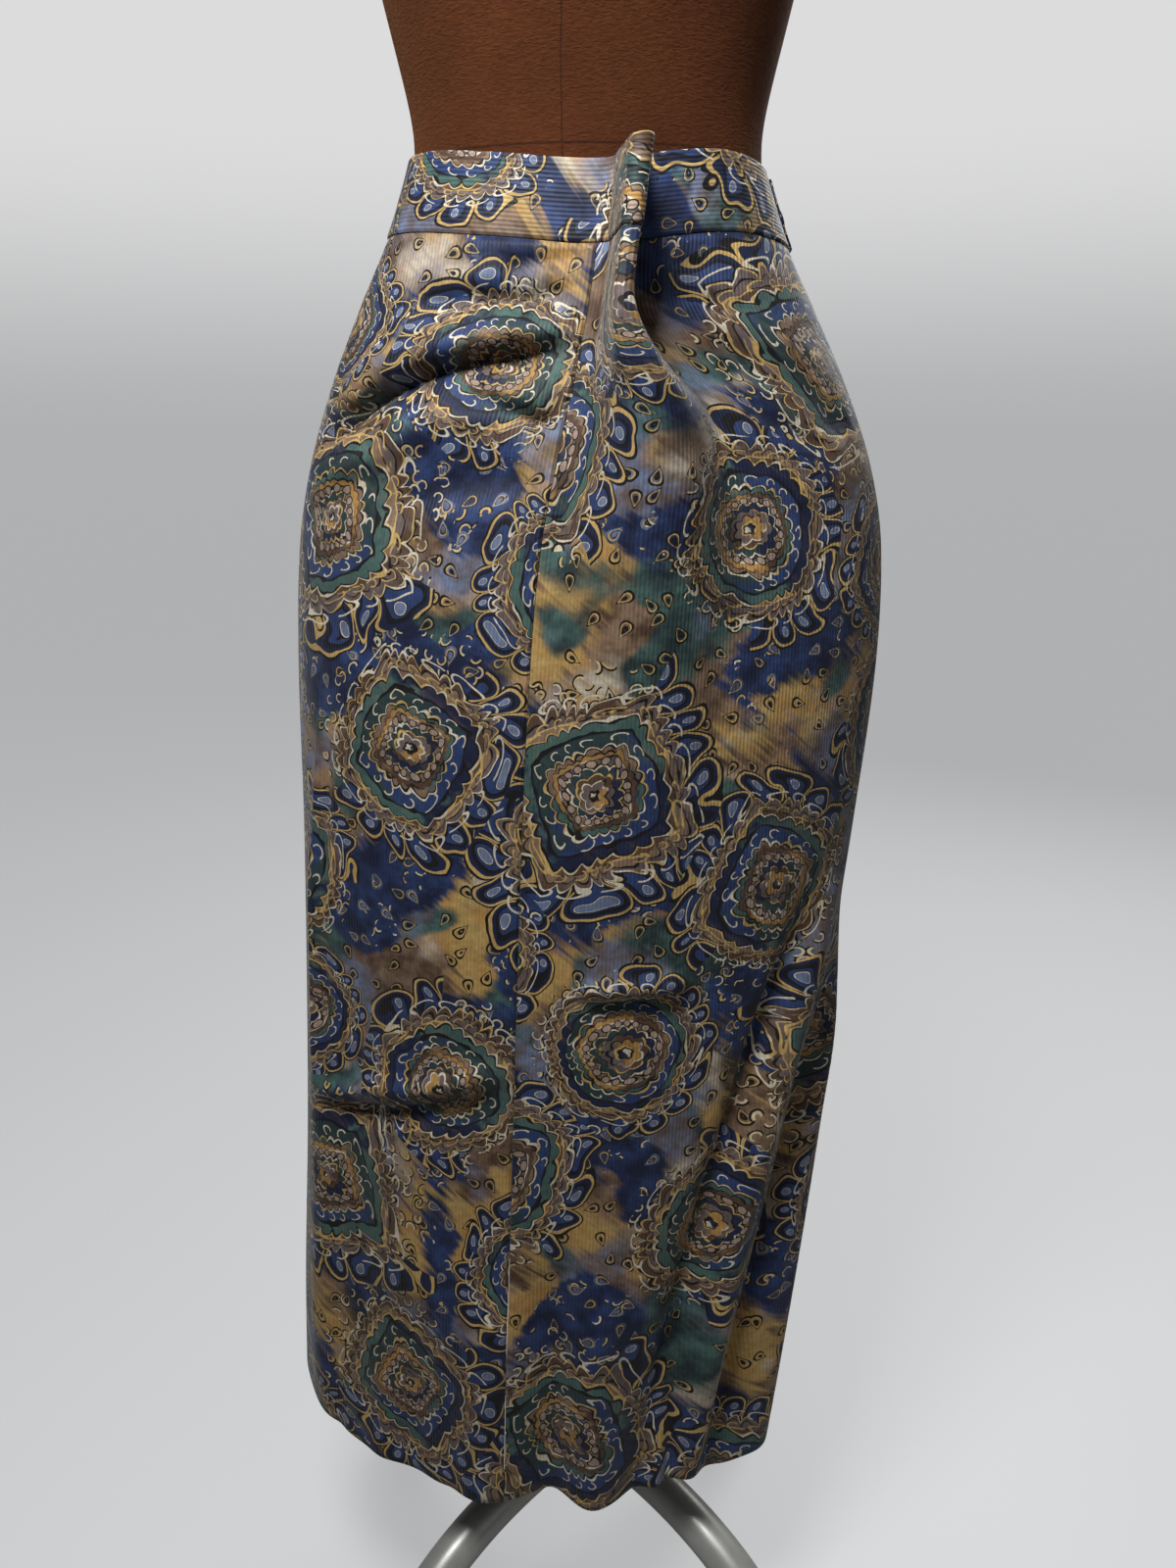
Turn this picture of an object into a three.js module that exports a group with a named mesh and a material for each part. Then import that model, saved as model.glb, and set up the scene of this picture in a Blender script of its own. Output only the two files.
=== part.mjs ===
// Midi skirt worn by a limbless dress form on a four-legged stand. Millimetres, +Z up.
// The form faces -Y, so +X is the wearer's left. Shapes are worked out about the pole's axis, which stands
// near the origin, and the last lines move the whole part so that the origin lies in the middle of its
// outline on the floor. The skirt has two front panels, one back panel and a waistband whose end laps and
// buttons at the wearer's left.
// Its waist is wider than the form, so the spare cloth stands out at the front in one pinched fold.
import * as THREE from 'three';

// Driving dimensions.
const cloth = {
  panelThickness: 1.2,
  bandThickness: 2.2,
  seamGap: 0.3,
  bandTop: 1036, // height of the waistband's upper edge
  bandBottom: 992, // height of the seam below the waistband
  hem: 172, // height of the hem at the front
  foldCloth: 132, // flat cloth taken up by the pinched fold
  squareness: 2.2, // 2 is an ellipse, more is boxier
};
const panelRows = 26;
const bandRows = 3;
const rowCrowding = 1.25; // rows lie closer together near the waist

const stand = {
  poleRadius: 14,
  hubRadius: 32,
  hubHeight: 58,
  hubBase: 72,
  legRadius: 15,
  legReach: 203, // from the pole's axis to the middle of a foot
  legRise: 102,
  legSides: 12,
  legSteps: 11,
  footRadius: 20,
  footHeight: 9,
  gap: 0.3,
};
const form = {
  bottom: 735,
  plateThickness: 12,
  collarRadius: 34,
  collarHeight: 40,
  columns: 36,
  neckTop: 1496,
};
const button = { radius: 6.5, thickness: 3.2, rim: 0.7, sides: 24 };

// Cloth's inner face by height: how far it reaches from the pole's axis to each side.
const skirtSections = [
  { height: 1060, right: 106.6, left: 106.8, front: 84.6, back: 84.9 },
  { height: 1038, right: 107.0, left: 107.2, front: 85.2, back: 85.2 },
  { height: 1016, right: 113.4, left: 114.0, front: 87.2, back: 88.4 },
  { height: 992, right: 122.4, left: 123.4, front: 90.6, back: 93.6 },
  { height: 953, right: 141.2, left: 142.8, front: 97.5, back: 104.5 },
  { height: 907, right: 161.5, left: 164.0, front: 106.0, back: 117.5 },
  { height: 859, right: 177.5, left: 181.0, front: 113.0, back: 127.0 },
  { height: 810, right: 186.8, left: 190.0, front: 118.0, back: 130.5 },
  { height: 733, right: 192.0, left: 191.0, front: 121.0, back: 131.0 },
  { height: 625, right: 194.5, left: 182.0, front: 123.0, back: 129.0 },
  { height: 510, right: 199.0, left: 170.5, front: 125.0, back: 126.0 },
  { height: 386, right: 205.0, left: 161.5, front: 127.5, back: 123.0 },
  { height: 253, right: 213.5, left: 152.5, front: 130.5, back: 120.0 },
  { height: 160, right: 217.5, left: 146.5, front: 132.0, back: 118.5 },
];

// Where the centre-front seam runs: along the outline from the middle of the front, positive to the
// wearer's left.
const frontSeam = [
  { height: 1060, along: 9 },
  { height: 992, along: 5 },
  { height: 929, along: -5 },
  { height: 870, along: -17 },
  { height: 810, along: -28 },
  { height: 700, along: -37 },
  { height: 550, along: -44 },
  { height: 320, along: -53 },
  { height: 160, along: -58 },
];

// The pinched fold: how steeply its flanks stand, and the cloth spent in the bends at its foot and crest.
const pinchedFold = [
  { height: 1060, steepness: 87, footBend: 13, crestBend: 5 },
  { height: 960, steepness: 86, footBend: 13, crestBend: 6 },
  { height: 925, steepness: 77, footBend: 15, crestBend: 13 },
  { height: 895, steepness: 62, footBend: 18, crestBend: 22 },
  { height: 855, steepness: 47, footBend: 22, crestBend: 28 },
  { height: 800, steepness: 33, footBend: 28, crestBend: 33 },
  { height: 720, steepness: 20, footBend: 33, crestBend: 33 },
  { height: 620, steepness: 11, footBend: 33, crestBend: 33 },
  { height: 480, steepness: 5, footBend: 33, crestBend: 33 },
  { height: 300, steepness: 4, footBend: 33, crestBend: 33 },
  { height: 160, steepness: 7, footBend: 33, crestBend: 33 },
];

// Soft folds as ridges (positive rise) and troughs (negative): each runs from one flat place to another.
// across is measured round the skirt from the centre-front seam, positive to the wearer's left; sag bows the
// middle of the fold down.
const folds = [
  // drag lines pulled to the pinch, wearer's right
  { fromAcross: -8, fromHeight: 962, toAcross: -118, toHeight: 958, sag: 6, halfWidth: 11, rise: -6 },
  { fromAcross: 0, fromHeight: 948, toAcross: -165, toHeight: 893, sag: -12, halfWidth: 11, rise: 6 },
  { fromAcross: 0, fromHeight: 930, toAcross: -176, toHeight: 865, sag: -14, halfWidth: 10, rise: -9 },
  { fromAcross: -4, fromHeight: 902, toAcross: -190, toHeight: 838, sag: -12, halfWidth: 13, rise: 7 },
  { fromAcross: 0, fromHeight: 885, toAcross: -76, toHeight: 906, sag: 0, halfWidth: 10, rise: -5 },
  { fromAcross: -4, fromHeight: 858, toAcross: -110, toHeight: 834, sag: -6, halfWidth: 13, rise: -5 },
  // drag lines on the wearer's left
  { fromAcross: 140, fromHeight: 925, toAcross: 232, toHeight: 880, sag: -5, halfWidth: 14, rise: -4 },
  { fromAcross: 138, fromHeight: 885, toAcross: 205, toHeight: 790, sag: 0, halfWidth: 17, rise: -5 },
  { fromAcross: 74, fromHeight: 872, toAcross: 124, toHeight: 776, sag: 0, halfWidth: 11, rise: 3 },
  // tucks across the wearer's right and the middle of the front
  { fromAcross: -160, fromHeight: 438, toAcross: 4, toHeight: 496, sag: 0, halfWidth: 9, rise: 5 },
  { fromAcross: -156, fromHeight: 419, toAcross: 0, toHeight: 470, sag: 0, halfWidth: 9, rise: -5 },
  { fromAcross: 34, fromHeight: 546, toAcross: 116, toHeight: 553, sag: 0, halfWidth: 9, rise: 4 },
  { fromAcross: 38, fromHeight: 531, toAcross: 112, toHeight: 537, sag: 0, halfWidth: 8, rise: -4 },
  // pressed corner down the wearer's right
  { fromAcross: -152, fromHeight: 700, toAcross: -150, toHeight: 120, sag: 0, halfWidth: 18, rise: 6 },
  { fromAcross: -116, fromHeight: 600, toAcross: -106, toHeight: 120, sag: 0, halfWidth: 26, rise: -5 },
  // long folds down the wearer's left
  { fromAcross: 205, fromHeight: 620, toAcross: 76, toHeight: 60, sag: -74, halfWidth: 14, rise: -11 },
  { fromAcross: 232, fromHeight: 620, toAcross: 128, toHeight: 220, sag: -50, halfWidth: 14, rise: 9 },
  { fromAcross: 244, fromHeight: 540, toAcross: 112, toHeight: 60, sag: 0, halfWidth: 14, rise: -11 },
  { fromAcross: 274, fromHeight: 580, toAcross: 166, toHeight: 60, sag: 0, halfWidth: 16, rise: 9 },
  // flutes at the front hem
  { fromAcross: -66, fromHeight: 330, toAcross: -70, toHeight: 60, sag: 0, halfWidth: 18, rise: -5 },
  { fromAcross: -18, fromHeight: 350, toAcross: -10, toHeight: 60, sag: 0, halfWidth: 22, rise: 8 },
  { fromAcross: 28, fromHeight: 380, toAcross: 34, toHeight: 60, sag: 0, halfWidth: 14, rise: -9 },
  { fromAcross: 60, fromHeight: 360, toAcross: 59, toHeight: 60, sag: 0, halfWidth: 14, rise: 8 },
  { fromAcross: 126, fromHeight: 340, toAcross: 114, toHeight: 60, sag: 0, halfWidth: 10, rise: -8 },
  { fromAcross: 142, fromHeight: 330, toAcross: 134, toHeight: 60, sag: 0, halfWidth: 11, rise: 6 },
  // long folds down the back
  { fromAcross: 420, fromHeight: 760, toAcross: 415, toHeight: 70, sag: 0, halfWidth: 26, rise: 8 },
  { fromAcross: 478, fromHeight: 700, toAcross: 484, toHeight: 70, sag: 0, halfWidth: 24, rise: -9 },
  { fromAcross: 545, fromHeight: 740, toAcross: 540, toHeight: 70, sag: 0, halfWidth: 28, rise: 9 },
  { fromAcross: 612, fromHeight: 690, toAcross: 606, toHeight: 70, sag: 0, halfWidth: 24, rise: -9 },
  { fromAcross: 676, fromHeight: 720, toAcross: 680, toHeight: 70, sag: 0, halfWidth: 26, rise: 8 },
  { fromAcross: 740, fromHeight: 660, toAcross: 742, toHeight: 70, sag: 0, halfWidth: 22, rise: -7 },
];
const foldFade = 0.22; // share of a fold's length over which it rises and dies away

// How the waistline dips and the hem lifts, by turn round the skirt in degrees from the front's middle.
const edgeHeights = [
  { turn: -180, waistLift: 0, hemLift: 12 },
  { turn: -130, waistLift: 2, hemLift: 20 },
  { turn: -92, waistLift: 4, hemLift: 28 },
  { turn: -60, waistLift: 2, hemLift: 9 },
  { turn: -30, waistLift: -4, hemLift: -1 },
  { turn: -8, waistLift: -8, hemLift: 3 },
  { turn: 8, waistLift: -8, hemLift: 0 },
  { turn: 45, waistLift: 0, hemLift: 6 },
  { turn: 70, waistLift: -2, hemLift: 30 },
  { turn: 95, waistLift: -5, hemLift: 46 },
  { turn: 135, waistLift: -2, hemLift: 28 },
  { turn: 180, waistLift: 0, hemLift: 12 },
];

// The form's trunk, half-width to each side and reach to the front and back by height.
const trunkSections = [
  { height: 735, half: 161, front: 88, back: 112 },
  { height: 748, half: 165, front: 91, back: 115 },
  { height: 800, half: 168, front: 93, back: 118 },
  { height: 845, half: 166, front: 93, back: 117 },
  { height: 880, half: 159, front: 92, back: 112 },
  { height: 910, half: 150, front: 91, back: 106 },
  { height: 940, half: 138, front: 89, back: 98 },
  { height: 970, half: 125, front: 87, back: 91 },
  { height: 1000, half: 114.5, front: 85, back: 87 },
  { height: 1025, half: 107.4, front: 83.8, back: 84.6 },
  { height: 1045, half: 105.4, front: 83.2, back: 83.6 },
  { height: 1065, half: 107, front: 83, back: 85 },
  { height: 1100, half: 115.5, front: 88, back: 90 },
  { height: 1135, half: 124, front: 97, back: 94 },
  { height: 1170, half: 132, front: 107, back: 97 },
  { height: 1215, half: 141, front: 117, back: 98 },
  { height: 1260, half: 147, front: 113, back: 97 },
  { height: 1310, half: 151, front: 98, back: 93 },
  { height: 1350, half: 158, front: 84, back: 88 },
  { height: 1385, half: 160, front: 72, back: 80 },
  { height: 1412, half: 142, front: 63, back: 72 },
  { height: 1432, half: 106, front: 58, back: 66 },
  { height: 1448, half: 72, front: 54, back: 60 },
  { height: 1468, half: 58, front: 52, back: 54 },
  { height: 1496, half: 54, front: 51, back: 51 },
];
const bust = { apart: 74, height: 1218, spread: 52, rise: 17 };

const radians = (degrees) => (degrees * Math.PI) / 180;
const clamp = (value, low, high) => Math.min(high, Math.max(low, value));
const smooth = (share) => share * share * (3 - 2 * share);

// One row of a table at a place between its rows: a cubic through the rows, column by column.
function rowAt(table, key, place) {
  const rising = table[1][key] > table[0][key];
  const rows = rising ? table : [...table].reverse();
  const last = rows.length - 1;
  const x = clamp(place, rows[0][key], rows[last][key]);
  const i = clamp(rows.findIndex((row) => row[key] > x) - 1, 0, last - 1);
  const slot = rows.findIndex((row) => row[key] > x) < 0 ? last - 1 : i;
  const span = rows[slot + 1][key] - rows[slot][key];
  const t = (x - rows[slot][key]) / span;
  const slope = (j, column) => {
    const before = rows[Math.max(j - 1, 0)];
    const after = rows[Math.min(j + 1, last)];
    return (after[column] - before[column]) / (after[key] - before[key]);
  };
  const made = {};
  for (const column of Object.keys(rows[0])) {
    const start = rows[slot][column];
    const end = rows[slot + 1][column];
    const lean = slope(slot, column) * span;
    const arrive = slope(slot + 1, column) * span;
    made[column] =
      start * (2 * t ** 3 - 3 * t ** 2 + 1) +
      lean * (t ** 3 - 2 * t ** 2 + t) +
      end * (3 * t ** 2 - 2 * t ** 3) +
      arrive * (t ** 3 - t ** 2);
  }
  return made;
}

// A point of a rounded outline seen from above; turn 0 is the front, a quarter turn the wearer's left.
function outlinePoint(reach, turn) {
  const sine = Math.sin(turn);
  const cosine = Math.cos(turn);
  const power = 2 / cloth.squareness;
  const side = sine > 0 ? reach.left : reach.right;
  const depth = cosine > 0 ? reach.front : reach.back;
  return [
    side * Math.sign(sine) * Math.abs(sine) ** power,
    -depth * Math.sign(cosine) * Math.abs(cosine) ** power,
  ];
}

// Cross-profile of the pinched fold at a height: distance along the outline and height off it, one row
// for each millimetre of cloth.
function foldProfile(height) {
  const { steepness, footBend, crestBend } = rowAt(pinchedFold, 'height', height);
  const half = cloth.foldCloth / 2;
  const profile = [{ along: 0, off: 0 }];
  for (let s = 0.5; s < cloth.foldCloth; s += 1) {
    const fromFoot = Math.min(s, cloth.foldCloth - s);
    const nearFoot = smooth(clamp(fromFoot / footBend, 0, 1));
    const nearCrest = smooth(clamp((half - fromFoot) / crestBend, 0, 1));
    const lean = radians(steepness) * Math.min(nearFoot, nearCrest) * (s < half ? 1 : -1);
    const before = profile[profile.length - 1];
    profile.push({ along: before.along + Math.cos(lean), off: before.off + Math.sin(lean) });
  }
  return profile;
}

const ringSamples = 720;
const sideTurn = 0.257; // place of the side seams, as a share of a whole turn from the middle of the front
const ringStore = new Map();

// The skirt's outline at a height, measured along its length, with the side seams and the fold on it.
function ringAt(height) {
  const key = height.toFixed(2);
  if (ringStore.has(key)) return ringStore.get(key);
  const reach = rowAt(skirtSections, 'height', height);
  const points = [];
  const lengths = [];
  for (let i = 0; i <= 2 * ringSamples; i += 1) {
    const point = outlinePoint(reach, (i / ringSamples - 1) * 2 * Math.PI);
    const before = points[i - 1];
    lengths.push(i ? lengths[i - 1] + Math.hypot(point[0] - before[0], point[1] - before[1]) : 0);
    points.push(point);
  }
  const girth = lengths[ringSamples];
  const profile = foldProfile(height);
  const ring = {
    girth,
    profile,
    foldWidth: profile[profile.length - 1].along,
    seam: rowAt(frontSeam, 'height', height).along,
    leftSide: lengths[Math.round(ringSamples * (1 + sideTurn))] - girth,
    rightSide: lengths[Math.round(ringSamples * (1 - sideTurn))] - girth,
    at(along) {
      const wanted = ((along % girth) + girth) % girth;
      let low = 0;
      let high = 2 * ringSamples;
      while (high - low > 1) {
        const middle = (low + high) >> 1;
        if (lengths[middle] <= wanted) low = middle;
        else high = middle;
      }
      const share = (wanted - lengths[low]) / (lengths[high] - lengths[low]);
      return [
        points[low][0] + (points[high][0] - points[low][0]) * share,
        points[low][1] + (points[high][1] - points[low][1]) * share,
      ];
    },
  };
  ring.leftFront = cloth.foldCloth + ring.leftSide - ring.seam - ring.foldWidth;
  ring.rightFront = ring.seam - ring.rightSide;
  ring.flat = girth - ring.foldWidth + cloth.foldCloth;
  ringStore.set(key, ring);
  return ring;
}

// Height of the soft folds at a flat place.
function foldRise(across, height, flat) {
  let rise = 0;
  for (const fold of folds) {
    const runAcross = fold.toAcross - fold.fromAcross;
    const runDown = fold.toHeight - fold.fromHeight;
    for (const place of [across - flat, across, across + flat]) {
      const share = ((place - fold.fromAcross) * runAcross + (height - fold.fromHeight) * runDown) /
        (runAcross ** 2 + runDown ** 2);
      if (share <= 0 || share >= 1) continue;
      const bow = -fold.sag * Math.sin(Math.PI * share);
      const off = (place - fold.fromAcross) * runDown - (height - bow - fold.fromHeight) * runAcross;
      const distance = off / Math.hypot(runAcross, runDown) / fold.halfWidth;
      const fade = smooth(clamp(share / foldFade, 0, 1)) * smooth(clamp((1 - share) / foldFade, 0, 1));
      rise += fold.rise * fade * Math.exp(-distance * distance);
    }
  }
  return rise;
}

const waistReach = 160; // how far down from the band the dip of the waistline is felt
const aheadStep = 2; // distance along the outline over which its direction is taken

// A point of the cloth's inner face: across from the centre-front seam, at a nominal height.
function clothPoint(across, height) {
  const ring = ringAt(height);
  let along = ring.seam + across;
  let off = foldRise(across, height, ring.flat);
  if (across > 0 && across < cloth.foldCloth) {
    const step = Math.floor(across);
    const share = across - step;
    const start = ring.profile[step];
    const end = ring.profile[step + 1];
    along = ring.seam + start.along + (end.along - start.along) * share;
    off += start.off + (end.off - start.off) * share;
  } else if (across >= cloth.foldCloth) {
    along = ring.seam + ring.foldWidth + across - cloth.foldCloth;
  }
  const [x, y] = ring.at(along);
  const [backX, backY] = ring.at(along - aheadStep);
  const [aheadX, aheadY] = ring.at(along + aheadStep);
  const run = Math.hypot(aheadX - backX, aheadY - backY);
  const turn = (((along / ring.girth) * 360 + 540) % 360) - 180;
  const edge = rowAt(edgeHeights, 'turn', turn);
  const nearWaist = smooth(clamp(1 - (cloth.bandBottom - height) / waistReach, 0, 1));
  const length = cloth.bandBottom - cloth.hem;
  const nearHem = clamp((cloth.bandBottom - height) / length, 0, 1) ** 2;
  return new THREE.Vector3(
    x + (off * (aheadY - backY)) / run,
    y - (off * (aheadX - backX)) / run,
    height + edge.waistLift * nearWaist + edge.hemLift * nearHem,
  );
}

// The cloth's outward direction at a flat place.
function clothOutward(across, height) {
  const round = clothPoint(across + 0.6, height).sub(clothPoint(across - 0.6, height));
  const down = clothPoint(across, height - 1.5).sub(clothPoint(across, height + 1.5));
  return down.cross(round).normalize();
}

function solidMesh(name, geometry, colour, roughness, metalness = 0) {
  const material = new THREE.MeshStandardMaterial({ color: colour, roughness, metalness });
  const mesh = new THREE.Mesh(geometry, material);
  mesh.name = name;
  return mesh;
}

// A wall between an outer and an inner grid of points, rows running down and columns towards the
// wearer's left.
function wallGeometry(outer, inner, closed = false) {
  const rows = outer.length;
  const columns = outer[0].length;
  const positions = [...outer.flat(), ...inner.flat()].flatMap((p) => [p.x, p.y, p.z]);
  const outside = (row, column) => row * columns + (column % columns);
  const inside = (row, column) => rows * columns + outside(row, column);
  const faces = [];
  const quad = (a, b, c, d) => faces.push(a, b, c, a, c, d);
  const spans = closed ? columns : columns - 1;
  for (let r = 0; r < rows - 1; r += 1) {
    for (let c = 0; c < spans; c += 1) {
      quad(outside(r, c), outside(r + 1, c), outside(r + 1, c + 1), outside(r, c + 1));
      quad(inside(r, c), inside(r, c + 1), inside(r + 1, c + 1), inside(r + 1, c));
    }
    if (!closed) {
      quad(outside(r, 0), inside(r, 0), inside(r + 1, 0), outside(r + 1, 0));
      quad(outside(r, spans), outside(r + 1, spans), inside(r + 1, spans), inside(r, spans));
    }
  }
  for (let c = 0; c < spans; c += 1) {
    quad(outside(0, c), outside(0, c + 1), inside(0, c + 1), inside(0, c));
    quad(outside(rows - 1, c), inside(rows - 1, c), inside(rows - 1, c + 1), outside(rows - 1, c + 1));
  }
  const geometry = new THREE.BufferGeometry();
  geometry.setAttribute('position', new THREE.Float32BufferAttribute(positions, 3));
  geometry.setIndex(faces);
  return geometry;
}

// Cloth between two heights; acrossAt gives the flat places of the columns for a height.
function clothGeometry(heights, acrossAt, thickness, lift = 0) {
  const outer = [];
  const inner = [];
  for (const height of heights) {
    const places = acrossAt(height);
    const faces = places.map((across) => ({
      point: clothPoint(across, height),
      outward: clothOutward(across, height),
    }));
    inner.push(faces.map((face) => face.point.clone().addScaledVector(face.outward, lift)));
    outer.push(faces.map((face) => face.point.clone().addScaledVector(face.outward, lift + thickness)));
  }
  return wallGeometry(outer, inner);
}

// Places from one to another in equal steps, both ends included.
function evenly(from, to, count) {
  return Array.from({ length: count + 1 }, (_, i) => from + ((to - from) * i) / count);
}

// Columns over the pinched fold lie closer together at its foot and its crest.
const foldShares = [0, 0.07, 0.14, 0.22, 0.36, 0.55, 0.74, 0.87, 0.93, 0.97, 1];
const halfFold = cloth.foldCloth / 2;
const foldColumns = [
  ...foldShares.map((share) => share * halfFold),
  ...foldShares.slice(0, -1).reverse().map((share) => (2 - share) * halfFold),
];

const seamEdge = cloth.seamGap / 2;
const panelTop = cloth.bandBottom - cloth.seamGap;
const panelHeights = evenly(0, 1, panelRows).map(
  (share) => panelTop - (panelTop - cloth.hem) * share ** rowCrowding,
);
const bandHeights = evenly(cloth.bandTop, cloth.bandBottom, bandRows);

const panelColumns = {
  // wearer's right front, from the right side seam to the centre-front seam
  frontRight: (height) => evenly(-ringAt(height).rightFront + seamEdge, -seamEdge, 16),
  // wearer's left front, from the centre-front seam over the fold to the left side seam
  frontLeft: (height) => [
    seamEdge,
    ...foldColumns.slice(1),
    ...evenly(cloth.foldCloth, ringAt(height).leftFront - seamEdge, 20).slice(1),
  ],
  back: (height) => {
    const ring = ringAt(height);
    return evenly(ring.leftFront + seamEdge, ring.flat - ring.rightFront - seamEdge, 28);
  },
};

// The waistband is one strip that starts and ends at the left side seam.
const bandColumns = (height) => {
  const ring = ringAt(height);
  return [
    ...evenly(ring.leftFront - ring.flat + seamEdge, -ring.rightFront, 24),
    ...evenly(-ring.rightFront, foldColumns[0], 12).slice(1),
    ...foldColumns.slice(1),
    ...evenly(cloth.foldCloth, ring.leftFront - seamEdge, 10).slice(1),
  ];
};
// The band's end laps over its start, past the left side seam.
const lap = { ahead: 14, behind: 20, gap: 0.3, thickness: 2, inset: 1.5, buttonPlace: 8, buttonLift: 0.8 };
const lapColumns = (height) => {
  const side = ringAt(height).leftFront;
  return evenly(side - lap.ahead, side + lap.behind, 6);
};

function skirt() {
  const group = new THREE.Group();
  const colour = 0x5a6472;
  const dullness = 0.75;
  const panel = (name, columns) =>
    solidMesh(name, clothGeometry(panelHeights, columns, cloth.panelThickness), colour, dullness);
  group.add(panel('front_right', panelColumns.frontRight));
  group.add(panel('front_left', panelColumns.frontLeft));
  group.add(panel('back', panelColumns.back));
  const band = clothGeometry(bandHeights, bandColumns, cloth.bandThickness);
  group.add(solidMesh('waistband', band, colour, dullness));
  const lapHeights = evenly(cloth.bandTop - lap.inset, cloth.bandBottom + lap.inset, bandRows);
  const lapLift = cloth.bandThickness + lap.gap;
  const bandEnd = clothGeometry(lapHeights, lapColumns, lap.thickness, lapLift);
  group.add(solidMesh('waistband_lap', bandEnd, colour, dullness));
  group.add(bandButton());
  return group;
}

// A low domed button on the lap, its flat back just clear of the curved cloth.
function bandButton() {
  const height = (cloth.bandTop + cloth.bandBottom) / 2;
  const across = ringAt(height).leftFront + lap.buttonPlace;
  const outward = clothOutward(across, height);
  const onLap = cloth.bandThickness + lap.gap + lap.thickness + lap.buttonLift;
  const profile = [
    new THREE.Vector2(0, 0),
    new THREE.Vector2(button.radius - button.rim, 0),
    new THREE.Vector2(button.radius, button.rim),
    new THREE.Vector2(button.radius, button.thickness * 0.6),
    new THREE.Vector2(button.radius - button.rim, button.thickness * 0.8),
    new THREE.Vector2(button.radius * 0.55, button.thickness * 0.95),
    new THREE.Vector2(0, button.thickness),
  ];
  const mesh = solidMesh('button', new THREE.LatheGeometry(profile, button.sides), 0x1b2338, 0.35);
  mesh.quaternion.setFromUnitVectors(new THREE.Vector3(0, 1, 0), outward);
  mesh.position.copy(clothPoint(across, height).addScaledVector(outward, onLap));
  return mesh;
}

// The form's trunk: rings from the hips to the neck, closed at both ends.
function trunk() {
  const positions = [];
  for (const { height, ...row } of trunkSections) {
    for (let c = 0; c < form.columns; c += 1) {
      const turn = (c / form.columns) * 2 * Math.PI;
      const reach = { left: row.half, right: row.half, front: row.front, back: row.back };
      const [x, y] = outlinePoint(reach, turn);
      const aside = (Math.abs(x) - bust.apart) / bust.spread;
      const above = (height - bust.height) / bust.spread;
      const swell = y < 0 ? bust.rise * Math.exp(-aside * aside - above * above) * Math.cos(turn) ** 2 : 0;
      positions.push(x, y - swell, height);
    }
  }
  const rings = trunkSections.length;
  const bottom = rings * form.columns;
  positions.push(0, 0, trunkSections[0].height, 0, 0, trunkSections[rings - 1].height);
  const faces = [];
  for (let c = 0; c < form.columns; c += 1) {
    const next = (c + 1) % form.columns;
    faces.push(bottom, next, c);
    const top = (rings - 1) * form.columns;
    faces.push(bottom + 1, top + c, top + next);
    for (let r = 0; r < rings - 1; r += 1) {
      const low = r * form.columns;
      const high = low + form.columns;
      faces.push(low + c, low + next, high + next, low + c, high + next, high + c);
    }
  }
  const geometry = new THREE.BufferGeometry();
  geometry.setAttribute('position', new THREE.Float32BufferAttribute(positions, 3));
  geometry.setIndex(faces);
  return solidMesh('form_trunk', geometry, 0x6b3a22, 0.95);
}

// A round part turned about the pole's axis, from [radius, height] points.
function turned(name, points, sides, colour, roughness, metalness = 0) {
  const profile = points.map(([radius, height]) => new THREE.Vector2(radius, height));
  const mesh = solidMesh(name, new THREE.LatheGeometry(profile, sides), colour, roughness, metalness);
  mesh.rotation.x = Math.PI / 2;
  return mesh;
}

// Wooden board that closes the trunk underneath.
function formBoard() {
  const shape = new THREE.Shape();
  const reach = { left: 152, right: 152, front: 90, back: 108 };
  for (let c = 0; c < form.columns; c += 1) {
    const [x, y] = outlinePoint(reach, (c / form.columns) * 2 * Math.PI);
    if (c) shape.lineTo(x, y);
    else shape.moveTo(x, y);
  }
  const geometry = new THREE.ExtrudeGeometry(shape, { depth: form.plateThickness, bevelEnabled: false });
  const mesh = solidMesh('form_board', geometry, 0xa98a5f, 0.7);
  mesh.position.z = form.bottom - stand.gap - form.plateThickness;
  return mesh;
}

function neckCap() {
  const base = form.neckTop + stand.gap;
  return turned('neck_cap', [
    [0, base], [48, base], [50, base + 2], [50, base + 7], [46, base + 11], [22, base + 15],
    [10, base + 18], [8, base + 24], [13, base + 31], [14, base + 38], [10, base + 44], [0, base + 47],
  ], 32, 0xa98a5f, 0.5);
}

// A leg leaves the hub level and comes down plumb on its foot.
class LegPath extends THREE.Curve {
  constructor(heading, bottom) {
    super();
    this.heading = heading;
    this.bottom = bottom;
  }

  getPoint(share, target = new THREE.Vector3()) {
    const turn = (share * Math.PI) / 2;
    const start = stand.hubRadius + 1.5 * stand.gap;
    const out = start + (stand.legReach - start) * Math.sin(turn);
    const height = this.bottom + stand.legRise * Math.cos(turn);
    return target.set(out * Math.cos(this.heading), out * Math.sin(this.heading), height);
  }
}

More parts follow.
